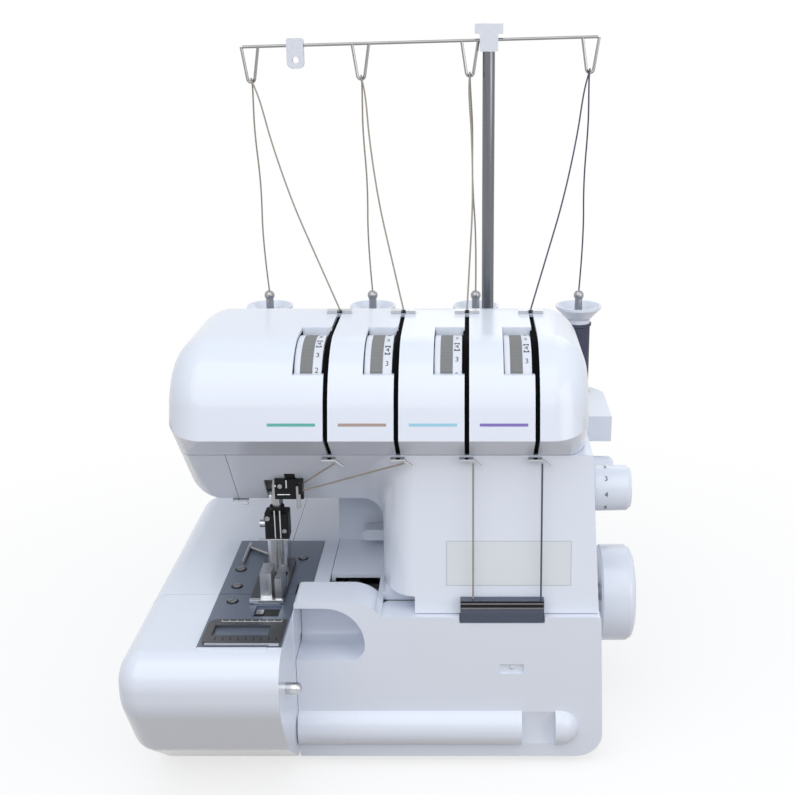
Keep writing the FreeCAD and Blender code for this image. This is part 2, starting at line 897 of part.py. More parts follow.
# Guide plate that leads the two needle threads
finger_out = 6.5
finger_tall = 8.0
finger_low = guide_top - finger_tall
guide_plate = box(guide_left, guide_right, guide_front, guide_back, guide_top - guide_tall, guide_top)
stem = box(stem_left, stem_right, guide_back, needle_y, stem_low, boss_low - seat_gap)
finger = box(guide_right - guide_thick_y, guide_right, guide_front - finger_out, guide_front, finger_low,
             guide_top)
needle_guide = fuse([guide_plate, stem, finger])

# Pivot pins of the loopers, the knife and the lifter, all carried by the looper plate
pivot_radius = 3.0
lower_looper_at = (-18.0, 52.0)
upper_looper_at = (8.0, 62.0)
knife_at = (4.0, 96.0)
looper_plate_back = looper_plate_y + 6.0
lower_looper_y = (-39.0, -36.0)
upper_looper_y = (-47.5, -44.5)
knife_y = (-53.0, -49.0)
pin_end = 0.8
pivot_pins = [
    rod_y(lower_looper_at[0], lower_looper_y[0] - pin_end, looper_plate_back, lower_looper_at[1],
          pivot_radius),
    rod_y(upper_looper_at[0], upper_looper_y[0] - pin_end, looper_plate_back, upper_looper_at[1],
          pivot_radius),
    rod_y(knife_at[0], knife_y[0] - pin_end, looper_plate_back, knife_at[1], pivot_radius),
    rod_y(lifter_x, looper_plate_y, lifter_y + lifter_half + pin_end, lifter_z, pivot_radius),
]
keep("pivot_pins", nose_pin, *hinge_pins, *pivot_pins)


def tapered_arm(points, halves, y0, y1):
    """Flat arm along a bent centre line, with its own half width at each point."""
    left = []
    right = []
    last = len(points) - 1
    for i, (x, z) in enumerate(points):
        a = points[max(0, i - 1)]
        b = points[min(last, i + 1)]
        run = math.hypot(b[0] - a[0], b[1] - a[1])
        nx = -(b[1] - a[1]) / run * halves[i]
        nz = (b[0] - a[0]) / run * halves[i]
        left.append((x + nx, z + nz))
        right.append((x - nx, z - nz))
    return slab(left + right[::-1], "xz", y0, y1)


def pivoted(points, halves, span, hub_deep):
    """Arm with a round hub on its pivot pin."""
    x, z = points[0]
    hub = rod_y(x, span[0], span[1] + hub_deep, z, 2.4 * pivot_radius)
    arm = fuse([tapered_arm(points, halves, span[0], span[1]), hub])
    return arm.cut(rod_y(x, span[0], span[1] + hub_deep, z, pivot_radius + run_gap))


looper_halves = [6.0, 4.0, 0.8]
looper_hub = 3.0
lower_looper_line = [lower_looper_at, (needle_x + 32.0, bed_top - 31.0), (needle_x + 12.0, bed_top - 16.0)]
upper_looper_line = [upper_looper_at, (needle_x + 40.0, bed_top - 27.0), (needle_x + 20.0, bed_top - 10.0)]
keep("lower_looper", pivoted(lower_looper_line, looper_halves, lower_looper_y, looper_hub))
keep("upper_looper", pivoted(upper_looper_line, looper_halves, upper_looper_y, looper_hub))

# Knives beside the plate's notch
knife_gap = 0.8
knife_edge = plate_notch_x + knife_gap
knife_halves = [6.0, 5.0, 5.0]
knife_wide = 6.0
lower_knife_wide = 4.0
blade_low = bed_top - 15.0
blade_high = bed_top + 3.0
knife_line = [knife_at, (needle_x + 40.0, bed_top - 10.0), (needle_x + 18.0, bed_top - 9.0)]
blade = box(knife_edge, knife_edge + knife_wide, knife_y[0], knife_y[1], blade_low, blade_high)
keep("upper_knife", fuse([pivoted(knife_line, knife_halves, knife_y, 0.0), blade]))
keep("lower_knife", box(plate_notch_x - lower_knife_wide, plate_notch_x - seam, knife_y[0] - pin_end,
                        knife_y[1] + seam, blade_low - 1, plate_under))

# Feed dog: a toothed strip under the plate's slot on a flat bar
feed_gap = 1.2
feed_travel = 1.5
feed_end_gap = feed_travel + 1.0
feed_low = 92.0
feed_bar_thick = 8.0
tooth_pitch = 4.0
tooth_deep = 1.2


def feed_dog():
    x0 = feed_slot[0] + feed_gap / 2
    x1 = feed_slot[1] - feed_gap / 2
    y0 = feed_slot[2] + feed_end_gap
    y1 = feed_slot[3] - feed_end_gap
    top = plate_top - seat_gap
    strip = box(x0, x1, y0, y1, feed_low, top)
    tail = box(x0, x1, y0, feed_post_rear, feed_low, feed_low + feed_bar_thick)
    whole = fuse([strip, tail])
    count = int((y1 - y0) / tooth_pitch)
    for i in range(count):
        y = y0 + tooth_pitch * i
        gap = slab([(y, top), (y + tooth_pitch * 0.7, top), (y, top - tooth_deep)], "yz", x0, x1)
        whole = whole.cut(gap)
    return whole


feed_post_rear = 18.0
feed_post_front = 4.0
keep("feed_dog", feed_dog())

# Frame casting that carries the shafts, bars and pins
wall_rear = 70.0
frame_rear = 80.0
left_wall_x = -36.0
frame_left = -97.0
boss_half = 15.0
boss_front = under_front - (boss_low - head_under - wall) / under_slope + wall + seat_gap
bush_radius = 9.0


def frame_casting():
    floor_top = tray_top + frame_floor
    wall_end = frame_wall_x + frame_wall
    looper_left = -58.0
    pieces = [
        box(column_left + wall + move_gap, wall_end, -45.0, frame_rear, tray_top, floor_top),
        box(frame_left, column_left + 2 * wall, -45.0, throat_rear - 2 * wall, tray_top, floor_top),
        box(frame_wall_x, wall_end, -45.0, wall_rear, tray_top, arm_high),
        box(looper_left, frame_wall_x, looper_plate_y, looper_plate_back, tray_top, cover_line - bay_margin),
        box(lifter_x - 10, lifter_x + 10, looper_plate_y, looper_plate_back, tray_top, lifter_z + 8),
        box(left_wall_x, left_wall_x + frame_wall, looper_plate_back, throat_rear - 2 * wall, tray_top,
            shaft_z + bush_radius + 4),
        box(feed_slot[0] - 4, feed_slot[1] + 4, feed_post_front, feed_post_rear, tray_top,
            feed_low - seat_gap),
        box(frame_left, wall_end, arm_front, arm_rear, arm_low, arm_high),
        box(needle_x - boss_half, needle_x + boss_half, boss_front, presser_y + 10, boss_low, boss_high),
        box(needle_x - boss_half, needle_x + boss_half, arm_front, presser_y + 10, arm_low, boss_high),
    ]
    holes = [
        rod_z(needle_x, needle_y, 0, far, needle_bar_radius + run_gap),
        rod_z(presser_x, presser_y, arm_low - wall, far, presser_radius + run_gap),
        rod_x(left_wall_x, far, shaft_y, shaft_z, bush_radius),
        rod_x(frame_wall_x, far, motor_y, motor_z, 2 * motor_shaft_radius),
        rod_x(frame_wall_x, far, length_dial_y, length_dial_z, dial_shaft_radius + run_gap),
        rod_x(frame_wall_x, far, feed_dial_y, feed_dial_z, dial_shaft_radius + run_gap),
    ]
    return cut(fuse(pieces), holes + pivot_pins)


motor_shaft_radius = 4.0
keep("frame_casting", frame_casting())
bush_lap = 1.0
bushes = []
for x in (left_wall_x, frame_wall_x):
    ring = rod_x(x - bush_lap, x + frame_wall + bush_lap, shaft_y, shaft_z, bush_radius)
    bushes.append(ring.cut(rod_x(x - far, x + far, shaft_y, shaft_z, shaft_radius + run_gap)))
keep("shaft_bushes", *bushes)

# Main shaft, handwheel and belt drive
crank_radius = 9.0
crank_left = left_wall_x - 18.0
crank_right = left_wall_x - 8.0
shaft = rod_x(crank_right, handwheel_face - 6, shaft_y, shaft_z, shaft_radius)
crank = rod_x(crank_left, crank_right, shaft_y, shaft_z, crank_radius)
crank_pin = rod_x(crank_left - 6, crank_left, shaft_y, shaft_z + 5, 2.5)
keep("main_shaft", fuse([shaft, crank, crank_pin]))
hand_in = handwheel_face - handwheel_width
r = handwheel_radius
keep("handwheel", revolve_x([
    (hand_in, shaft_radius), (hand_in, r - 1.5), (hand_in + 1.5, r), (handwheel_face - 5, r),
    (handwheel_face - 1.5, r - 2), (handwheel_face, r - 5), (handwheel_face, r - 12),
    (handwheel_face - 3, r - 14), (handwheel_face - 3, shaft_radius),
], shaft_y, shaft_z))
flange = 2.0
lip = 1.5


def pulley(bore, radius, y, z, start):
    """Flat-belt pulley with a flange each side; a start left of it adds a solid shaft."""
    x0 = pulley_x
    x1 = pulley_x + pulley_width
    rim = [(x0, radius + flange), (x0 + lip, radius + flange), (x0 + lip, radius), (x1 - lip, radius),
           (x1 - lip, radius + flange), (x1, radius + flange), (x1, bore)]
    if start is None:
        return revolve_x([(x0, bore)] + rim, y, z)
    return revolve_x([(start, 0), (start, motor_shaft_radius), (x0, motor_shaft_radius)] + rim, y, z)


keep("shaft_pulley", pulley(shaft_radius, pulley_radius, shaft_y, shaft_z, None))
motor_left = 30.0
motor_right = 92.0
keep("motor_pulley", pulley(0, motor_pulley_radius, motor_y, motor_z, motor_right - 11))


def belt_loop(grow):
    """Outline round both pulleys: two arcs joined by their outer tangents."""
    r1 = pulley_radius + grow
    r2 = motor_pulley_radius + grow
    dy = motor_y - shaft_y
    dz = motor_z - shaft_z
    base = math.atan2(dz, dy)
    open_angle = math.acos((r1 - r2) / math.hypot(dy, dz))
    x = pulley_x + lip + seat_gap

    def on(y, z, radius, angle):
        return V(x, y + radius * math.cos(angle), z + radius * math.sin(angle))

    a1 = on(shaft_y, shaft_z, r1, base + open_angle)
    a2 = on(shaft_y, shaft_z, r1, base - open_angle)
    b1 = on(motor_y, motor_z, r2, base + open_angle)
    b2 = on(motor_y, motor_z, r2, base - open_angle)
    big = Part.Arc(a1, on(shaft_y, shaft_z, r1, base + math.pi), a2).toShape()
    small = Part.Arc(b2, on(motor_y, motor_z, r2, base), b1).toShape()
    wire = Part.Wire([big, Part.LineSegment(a2, b2).toShape(), small, Part.LineSegment(b1, a1).toShape()])
    return Part.Face(wire).extrude(V(pulley_width - 2 * lip - 2 * seat_gap, 0, 0))


keep("drive_belt", belt_loop(seat_gap + belt_thick).cut(belt_loop(seat_gap)))


def motor():
    end = 5.0
    drum = revolve_x([(motor_left, 0), (motor_left, motor_radius - end), (motor_left + end, motor_radius),
                      (motor_right - end, motor_radius), (motor_right, motor_radius - end), (motor_right, 0)],
                     motor_y, motor_z)
    foot = box(motor_left + end, motor_right - end, motor_y - 14, motor_y + 14, tray_top + frame_floor,
               motor_z - 18)
    bore = rod_x(motor_right - 12, motor_right, motor_y, motor_z, motor_shaft_radius + run_gap)
    return fuse([drum, foot]).cut(bore)


keep("motor", motor())

# Presser lifter lever with its white tab
lifter = slab([
    (lifter_tip, lifter_z - lifter_low, lifter_low * 0.9),
    (lifter_x, lifter_z - lifter_low),
    (lifter_x, lifter_z + lifter_low),
    (lifter_tip, lifter_z + lifter_low, lifter_low * 0.9),
], "xz", lifter_y - lifter_half, lifter_y + lifter_half)
hub = rod_y(lifter_x, lifter_y - lifter_half, lifter_y + lifter_half, lifter_z, 2.4 * pivot_radius)
bore = rod_y(lifter_x, lifter_y - lifter_half, lifter_y + lifter_half, lifter_z, pivot_radius + run_gap)
keep("presser_lifter", fuse([lifter, hub]).cut(bore))

# Tension dials on their posts, with discs where each thread runs
rim_band = 1.5
grip_band = 7.5
dial_gap = 3.0
dial_shell = 4.0
ear_left = 5.0
ear_wide = 3.0
disc_gap = 0.3
disc_thick = 0.7
spring_radius = 6.5
rail_thick = 3.0


def tension_dial(x):
    x0 = x - window_width + dial_side_gap
    x1 = x - dial_gap
    r = dial_radius
    bore = post_radius + run_gap
    return revolve_x([
        (x0, r - dial_shell), (x0, r - 0.8), (x0 + rim_band, r - 0.8), (x0 + rim_band, r),
        (x0 + rim_band + grip_band, r), (x0 + rim_band + grip_band, r - 1), (x1, r - 1), (x1, bore),
        (x0, bore), (x0, 2 * bore), (x1 - dial_shell, 2 * bore), (x1 - dial_shell, r - dial_shell),
    ], dial_y, dial_z)


def tension_bracket():
    """Rail on the arm with an ear, a post and a spring sleeve for each thread."""
    rail = box(slots[0] + ear_left - 2, slots[-1] + ear_left + ear_wide + 2, arm_front + 2, arm_front + 22,
               arm_high, arm_high + rail_thick)
    ears = [box(x + ear_left, x + ear_left + ear_wide, dial_y - 8, arm_front + 12, arm_high + rail_thick,
                dial_z + 2 * post_radius) for x in slots]
    springs = [rod_x(x + disc_gap + disc_thick, x + ear_left, dial_y, dial_z, spring_radius) for x in slots]
    return fuse([rail] + ears + posts + springs)


posts = [rod_x(x - window_width, x + ear_left + ear_wide, dial_y, dial_z, post_radius) for x in slots]
keep("tension_bracket", tension_bracket())
for i, x in enumerate(slots):
    keep("tension_dial_%d" % (i + 1), tension_dial(x))
discs = []
for x in slots:
    for low in (x - disc_gap - disc_thick, x + disc_gap):
        discs.append(rod_x(low, low + disc_thick, dial_y, dial_z, disc_radius))
keep("tension_discs", *[cut(disc, posts) for disc in discs])

# Chrome clips under the head and guides on top of it
clip_low = 212.0
clip_thick = 1.4
clip_out = 6.0
clip_back = -68.2
hook_drop = 4.0
guide_wide = 17.0
guide_deep = 6.0
guide_high = 2.5
clips = []
guides = []
for x in slots:
    shelf = box(x - 4, x + 10, clip_back - clip_out, clip_back, clip_low, clip_low + clip_thick)
    hook = box(x + 1, x + 10, clip_back - clip_out, clip_back - clip_out + clip_thick, clip_low - hook_drop,
               clip_low)
    clips.append(shelf.fuse(hook))
    half_deep = guide_deep / 2
    plate = box(x - guide_wide / 2, x + guide_wide / 2, slot_rear - half_deep, slot_rear + half_deep,
                head_top, head_top + guide_high)
    eye = box(x - slot_width / 2, x + slot_width / 2, -far, slot_rear, 0, far)
    guides.append(plate.cut(eye))
keep("thread_guides", needle_guide, *clips, *guides)

# Side dials
dial_stand_off = 2.0


def side_dial(y, z, radius, face):
    taper = (column_right_foot - column_right_top) / (head_line - tray_top)
    side = column_right_foot - taper * (z - radius - tray_top)
    back = side + dial_stand_off
    return revolve_x([
        (frame_wall_x, 0), (frame_wall_x, dial_shaft_radius), (back, dial_shaft_radius), (back, radius - 0.6),
        (back + 2, radius), (face - 2.5, radius - 0.5), (face, radius - 2.5), (face, 0),
    ], y, z)


keep("stitch_length_dial", side_dial(length_dial_y, length_dial_z, length_dial_radius, length_dial_face))
keep("differential_dial", side_dial(feed_dial_y, feed_dial_z, feed_dial_radius, feed_dial_face))

# Power inlet with the pocket of its rocker switch
power_in = 123.0
power_face = 137.0
rocker_y0 = 9.0
rocker_y1 = 25.0
rocker_x = 132.0
rocker_z = 29.0
rocker_half = 9.2
inlet_y0 = 34.0
inlet_y1 = 52.0


def power_inlet():
    gap = seam / 2
    block = box(power_in, power_face, power_y0 + gap, power_y1 - gap, power_z0 + gap, power_z1 - gap)
    socket = box(power_in + wall, far, inlet_y0, inlet_y1, power_z0 + 6, power_z1 - 6)
    pocket = box(power_in + wall, far, rocker_y0 - seat_gap, rocker_y1 + seat_gap, rocker_z - rocker_half - 3,
                 rocker_z + rocker_half + 3)
    pins = [rod_x(power_in, power_face - 4, y, rocker_z, 2.0) for y in (inlet_y0 + 5, inlet_y1 - 5)]
    return fuse([cut(block, [socket, pocket])] + pins)


keep("power_inlet", power_inlet())
rocker = slab([
    (rocker_x - 2, rocker_z - rocker_half + 1),
    (rocker_x + 4.4, rocker_z - rocker_half),
    (rocker_x + 3.8, rocker_z),
    (rocker_x + 6.4, rocker_z + rocker_half),
    (rocker_x - 2, rocker_z + rocker_half - 1),
], "xz", rocker_y0, rocker_y1)
keep("power_switch", rocker)

# Spool stand behind the head
stand_top = stand_low + stand_thick
stand_front = head_rear + seam
stand_round = 24.0
stand_skin = 3.0
boss_radius = 9.0
spool_pin_radius = 3.0
spool_count = 4
spool_pitch = (spool_right - spool_left) / (spool_count - 1)
spools = [spool_left + spool_pitch * i for i in range(spool_count)]


def spool_stand():
    corners = [(-stand_half, stand_front), (stand_half, stand_front), (stand_half, stand_rear, stand_round),
               (-stand_half, stand_rear, stand_round)]
    block = slab(corners, "xy", stand_low, stand_top)
    hollow = inset_slab(corners, "xy", stand_low - stand_skin, stand_top - stand_skin, stand_skin)
    bosses = [rod_z(x, spool_y, stand_low, stand_top, boss_radius) for x in spools]
    bosses.append(rod_z(mast_x, mast_y, stand_low, stand_top, boss_radius))
    pins = [rod_z(x, spool_y, stand_low, pin_tip_z, spool_pin_radius) for x in spools]
    tips = [Part.makeSphere(ball, V(x, spool_y, pin_tip_z)) for x in spools]
    whole = fuse([block.cut(hollow)] + bosses + pins + tips)
    return whole.cut(rod_z(mast_x, mast_y, 0, far, mast_tube_radius))


spool_low = stand_top
spool_top = spool_low + spool_height
cap_high = 14.0
cap_floor = 5.5
pin_tip_z = spool_top + 22.0
ball = 4.0
keep("spool_stand", spool_stand())
caps = []
reels = []
for x in spools:
    hole = spool_pin_radius + run_gap
    caps.append(revolve_z([
        (hole, spool_top), (spool_radius - 1, spool_top), (spool_radius - 1, spool_top + 3),
        (cap_radius, spool_top + cap_high - 2), (cap_radius, spool_top + cap_high),
        (cap_radius - 1.5, spool_top + cap_high),
        (spool_radius - 2, spool_top + cap_floor),
        (hole, spool_top + cap_floor),
    ], x, spool_y))
    reels.append(revolve_z([
        (hole, spool_low), (spool_radius, spool_low), (spool_radius, spool_low + 2),
        (spool_radius - 1, spool_low + 3), (spool_radius - 1, spool_top - 3), (spool_radius, spool_top - 2),
        (spool_radius, spool_top), (hole, spool_top),
    ], x, spool_y))
keep("spool_caps", *caps)
keep("thread_spools", *reels)

# Telescopic mast, its head block and the guide bar
mast_tube_low = 100.0
tube = rod_z(mast_x, mast_y, mast_tube_low, mast_tube_top, mast_tube_radius)
keep("mast_tube", tube.cut(rod_z(mast_x, mast_y, 0, far, mast_radius + run_gap)))
bar_rise = bar_right_z - bar_left_z
bar_start = V(bar_left, mast_y, bar_left_z)
bar_line = V(bar_right, mast_y, bar_right_z) - bar_start
bar_wire = Part.makeCylinder(wire_radius, bar_line.Length, bar_start, bar_line)
loop_places = [-107.0, -28.0, 50.0, 136.0]


def bar_z(x):
    return bar_left_z + bar_rise * (x - bar_left) / (bar_right - bar_left)


wire_sides = 8
mast_end = bar_z(mast_x) - wire_radius - seat_gap
rod = rod_z(mast_x, mast_y, mast_foot, mast_end, mast_radius)
keep("mast_rod", rod)


def sided_ring(centre, along, radius, sides):
    """Closed polygon square to a direction, as the section of a thin wire or thread."""
    across = along.cross(V(0, 1, 0)).normalize() * radius
    turns = [FreeCAD.Rotation(along, 360 * k / sides) for k in range(sides + 1)]
    return Part.makePolygon([centre + spin.multVec(across) for spin in turns])


def guide_loop(x):
    """Wire eye that hangs from the bar and holds one thread."""
    z = bar_z(x)
    corners = [V(x - loop_half, mast_y, z), V(x, mast_y, z - loop_apex), V(x + loop_half, mast_y, z)]
    path = rounded_wire(corners, [0, loop_round, 0], False)
    ahead = V(loop_half, 0, -loop_apex)
    section = sided_ring(path.Vertexes[0].Point, ahead, wire_radius, wire_sides)
    return path.makePipeShell([section], True, False)


head_stem = 6.5
head_bar = 10.0
cap_line = mast_head_high - 7.0
mast_stem = box(mast_x - head_stem, mast_x + head_stem, mast_y - head_stem, mast_y + head_stem, mast_head_low,
                cap_line)
mast_top = box(mast_x - head_bar, mast_x + head_bar, mast_y - head_stem, mast_y + head_stem, cap_line,
               mast_head_high)
mast_block = cut(fuse([mast_stem, mast_top]), [rod, bar_wire])
keep("guide_bar", fuse([bar_wire] + [guide_loop(x) for x in loop_places]))
clip_x = -74.5
clip_half = 6.0
clip_top = bar_z(clip_x) + 5.0
clip_foot = clip_top - 21.0
clip_body = slab([
    (clip_x - clip_half, clip_foot, 4.0), (clip_x + clip_half, clip_foot, 4.0),
    (clip_x + clip_half, clip_top, 2.0), (clip_x - clip_half, clip_top, 2.0),
], "xz", mast_y - 3, mast_y + 3)
bar_clip = cut(clip_body, [bar_wire, rod_y(clip_x, -far, far, clip_foot + 6, 2.4)])
keep("mast_fittings", mast_block, bar_clip)

# Threads from the spools through the loops to the head
cord_bend = 0.45
loop_over = 2.6
thread_sides = 6
thread_top = pin_tip_z + ball + seat_gap
thread_end = head_top + guide_high + seat_gap
rise_steps = [0.25, 0.51, 0.76, 0.89, 0.96]
fall_steps = [0.05, 0.12, 0.27, 0.53, 0.77]
rise_sway = [-1.6, 0.5, -1.0, -0.3, 0.1]
fall_sway = [0.5, 0.3, -2.0, -3.2, -1.6]


def thread_route(i):
    """Hand-chosen points of one thread: up from its spool, over its loop, down to its slot."""
    side = 1 if i < 2 else -1
    apex_cut = loop_round / math.sin(math.atan(loop_half / loop_apex)) - loop_round
    loop_low = bar_z(loop_places[i]) - loop_apex + apex_cut
    start = V(spools[i], spool_y, thread_top)
    back = V(loop_places[i], mast_y + loop_over, loop_low + loop_over)
    front = V(loop_places[i], mast_y - loop_over, loop_low + loop_over)
    end = V(slots[i], slot_rear, thread_end)
    points = [start]
    for step, sway in zip(rise_steps, rise_sway):
        points.append(start + (back - start) * step + V(sway * side, sway, 0))
    points.append(back)
    points.append(front)
    for step, sway in zip(fall_steps, fall_sway):
        points.append(front + (end - front) * step + V(sway * side, 0, sway))
    points.append(end)
    return points


def thread_tube(points, name):
    """Six-sided tube on straight runs and the largest arcs that the runs allow."""
    radii = [0.0]
    for a, b, c in zip(points, points[1:], points[2:]):
        turn = (b - a).getAngle(c - b)
        shorter = min((b - a).Length, (c - b).Length)
        radii.append(cord_bend * shorter / math.tan(turn / 2))
    radii.append(0.0)
    path = rounded_wire(points, radii, False)
    section = sided_ring(points[0], points[1] - points[0], thread_radius, thread_sides)
    tube = path.makePipeShell([section], True, False)
    area = thread_sides / 2 * math.sin(2 * math.pi / thread_sides) * thread_radius ** 2
    print(name, "length", round(path.Length, 1), "radii", [round(r, 1) for r in radii[1:-1]],
          "volume ratio", round(tube.Volume / (area * path.Length), 4))
    return tube


thread_names = ["left_needle", "right_needle", "upper_looper", "lower_looper"]
for i, name in enumerate(thread_names):
    keep("thread_%s" % name, thread_tube(thread_route(i), name))

# Short taut stretches in front of the machine
hook_y = clip_back - clip_out - thread_radius - seat_gap
finger_face = guide_right + thread_radius + seat_gap
under_hook = clip_low - hook_drop - thread_radius
front_starts = [under_hook, under_hook, clip_low - 1, clip_low - 1]
front_ends = [
    V(finger_face, guide_front - 2, finger_low + 6.6),
    V(finger_face, guide_front - 5, finger_low + 2.5),
    V(slots[2] + 4, column_front - 2.5, pane_high + seat_gap),
    V(slots[3] + 4, column_front - 2.5, pane_high + seat_gap),
]
front_threads = []
for i, name in enumerate(thread_names):
    start = V(slots[i] + 4, hook_y, front_starts[i])
    front_threads.append(thread_tube([start, front_ends[i]], "front " + name))
keep("front_threads", *front_threads)

# Write one file for each piece
os.makedirs("parts", exist_ok=True)
for name, shape in parts.items():
    shape.exportStep("parts/%s.step" % name)
print(len(parts), "pieces written")
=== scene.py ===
# %% [markdown]
# # An overlock machine, dressed for the camera
# An overlock machine sews, trims and binds an edge in one pass. Its housing, shafts, dials and
# plates come from the CAD frame, in metres, with +Z up and the sewing side facing -Y. This
# lesson gives each of those nodes a finish, and adds what a moulding drawing leaves out:
# the threads, the numbers on the dials, screws, scale lines and a bare label plate.

# %% Load the frame
import json
import math

import bmesh
import bpy
from mathutils import Matrix, Vector


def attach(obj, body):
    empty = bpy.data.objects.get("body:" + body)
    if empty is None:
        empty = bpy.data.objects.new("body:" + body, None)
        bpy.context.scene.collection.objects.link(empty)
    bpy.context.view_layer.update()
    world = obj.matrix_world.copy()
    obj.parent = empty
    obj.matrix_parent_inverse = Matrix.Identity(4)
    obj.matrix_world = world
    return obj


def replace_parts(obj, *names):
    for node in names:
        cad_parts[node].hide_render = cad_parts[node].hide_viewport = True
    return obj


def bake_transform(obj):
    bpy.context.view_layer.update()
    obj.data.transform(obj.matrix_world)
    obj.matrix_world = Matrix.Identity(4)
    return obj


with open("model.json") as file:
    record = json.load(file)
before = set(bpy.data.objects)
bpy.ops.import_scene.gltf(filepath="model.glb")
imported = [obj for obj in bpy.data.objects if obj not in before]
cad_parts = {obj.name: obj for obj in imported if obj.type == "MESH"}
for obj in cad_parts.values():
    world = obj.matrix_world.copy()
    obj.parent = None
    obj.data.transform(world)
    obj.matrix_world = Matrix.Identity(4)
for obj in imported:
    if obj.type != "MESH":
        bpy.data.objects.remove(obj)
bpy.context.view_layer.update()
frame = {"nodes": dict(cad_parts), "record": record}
nodes = frame["nodes"]
scene = bpy.context.scene

# %% [markdown]
# ## Camera
# The picture was taken from a little above, slightly right of the machine's middle, and looks
# down about eighteen degrees. A camera object needs only a place, a turn and a lens. The lens
# shift stands in for the crop: it slides the picture sideways without turning the view.

# %% Place the camera
def placed(name, data):
    """A new object in the scene, at the origin."""
    thing = bpy.data.objects.new(name, data)
    scene.collection.objects.link(thing)
    return thing


look_down = 17.7
lens = bpy.data.cameras.new("studio_lens")
lens.lens = 54.34
lens.sensor_width = 36.0
lens.shift_x = -0.0893
lens.clip_end = 20.0
eye = placed("studio_camera", lens)
eye.location = (0.049, -0.789, 0.483)
eye.rotation_euler = (math.radians(90.0 - look_down), 0.0, 0.0)
scene.camera = eye
scene.view_settings.view_transform = "Standard"
print("camera at", tuple(eye.location), "lens", lens.lens)

# %% [markdown]
# ## Light
# White plastic shows its form only by soft shade, and a small lamp would burn a white patch on the
# head. So a very wide lamp stands high in front, a little to the left, with weaker ones on the
# right and behind. The world lights the object gently, while camera, glossy and transmission rays
# see plain white: chrome then mirrors the room the eye sees.

# %% Hang the lamps
machine_middle = Vector((0.0, 0.0, 0.2))


def soft_lamp(name, place, width, watts):
    """A square area lamp that looks at the machine's middle."""
    data = bpy.data.lights.new(name, "AREA")
    data.energy = watts
    data.size = width
    lamp = placed(name, data)
    lamp.location = place
    lamp.rotation_euler = (machine_middle - Vector(place)).to_track_quat("-Z", "Y").to_euler()


soft_lamp("key_lamp", (-0.25, -0.85, 1.25), width=1.7, watts=11.5)
soft_lamp("fill_lamp", (1.0, -0.8, 0.7), width=0.9, watts=4.8)
soft_lamp("rim_lamp", (0.3, 1.2, 1.0), width=0.9, watts=2.0)


def seen_directly(tree):
    """One where a ray comes from the eye, a mirror or a clear pane, and zero elsewhere."""
    path = tree.nodes.new("ShaderNodeLightPath")
    answer = path.outputs["Is Camera Ray"]
    for kind in ("Is Glossy Ray", "Is Transmission Ray"):
        either = tree.nodes.new("ShaderNodeMath")
        either.operation = "MAXIMUM"
        tree.links.new(answer, either.inputs[0])
        tree.links.new(path.outputs[kind], either.inputs[1])
        answer = either.outputs[0]
    return answer


def choose_by_ray(tree, thrown, seen, out):
    """One shader for the light that is thrown on, and another for what is seen directly."""
    choose = tree.nodes.new("ShaderNodeMixShader")
    tree.links.new(seen_directly(tree), choose.inputs[0])
    tree.links.new(thrown.outputs[0], choose.inputs[1])
    tree.links.new(seen.outputs[0], choose.inputs[2])
    tree.links.new(choose.outputs[0], out.inputs["Surface"])


world = bpy.data.worlds.new("white_room")
scene.world = world
world.use_nodes = True
tree = world.node_tree
tree.nodes.clear()
white_wall = tree.nodes.new("ShaderNodeBackground")
white_wall.inputs["Color"].default_value = (1.0, 1.0, 1.0, 1.0)
room_light = tree.nodes.new("ShaderNodeBackground")
room_light.inputs["Color"].default_value = (0.87, 0.93, 1.0, 1.0)
room_light.inputs["Strength"].default_value = 0.63
choose_by_ray(tree, room_light, white_wall, tree.nodes.new("ShaderNodeOutputWorld"))

# %% [markdown]
# ## Floor
# On a floor of plain white glow nothing seems to stand. So the floor the eye sees is mostly glow,
# with enough lit white near the object to keep its shadow; the lit share fades with distance, so
# no horizon shows. The light the floor throws back up is dimmer and warm, as from a wooden table.

# %% Lay the floor
floor_half = 6.0
floor_drop = 0.0004
floor_mesh = bpy.data.meshes.new("floor")
bm = bmesh.new()
bmesh.ops.create_grid(bm, x_segments=1, y_segments=1, size=floor_half)
bmesh.ops.translate(bm, verts=bm.verts, vec=(0.0, 0.0, -floor_drop))
bm.to_mesh(floor_mesh)
bm.free()
floor = placed("floor", floor_mesh)
pale = bpy.data.materials.new("pale_floor")
pale.use_nodes = True
tree = pale.node_tree
tree.nodes.clear()
bounce = tree.nodes.new("ShaderNodeBsdfDiffuse")
bounce.inputs["Color"].default_value = (0.36, 0.31, 0.27, 1.0)
lit = tree.nodes.new("ShaderNodeBsdfDiffuse")
lit.inputs["Color"].default_value = (0.95, 0.95, 0.95, 1.0)
glow = tree.nodes.new("ShaderNodeEmission")
coords = tree.nodes.new("ShaderNodeTexCoord")
away = tree.nodes.new("ShaderNodeVectorMath")
away.operation = "LENGTH"
fade = tree.nodes.new("ShaderNodeMapRange")
fade.interpolation_type = "SMOOTHSTEP"
fade_range = {"From Min": 0.15, "From Max": 0.70, "To Min": 0.72, "To Max": 1.0}
for socket, value in fade_range.items():
    fade.inputs[socket].default_value = value
mostly = tree.nodes.new("ShaderNodeMixShader")
tree.links.new(coords.outputs["Object"], away.inputs[0])
tree.links.new(away.outputs["Value"], fade.inputs["Value"])
tree.links.new(fade.outputs["Result"], mostly.inputs[0])
tree.links.new(lit.outputs[0], mostly.inputs[1])
tree.links.new(glow.outputs[0], mostly.inputs[2])
choose_by_ray(tree, bounce, mostly, tree.nodes.new("ShaderNodeOutputMaterial"))
floor_mesh.materials.append(pale)
print("floor", 2 * floor_half, "m wide")

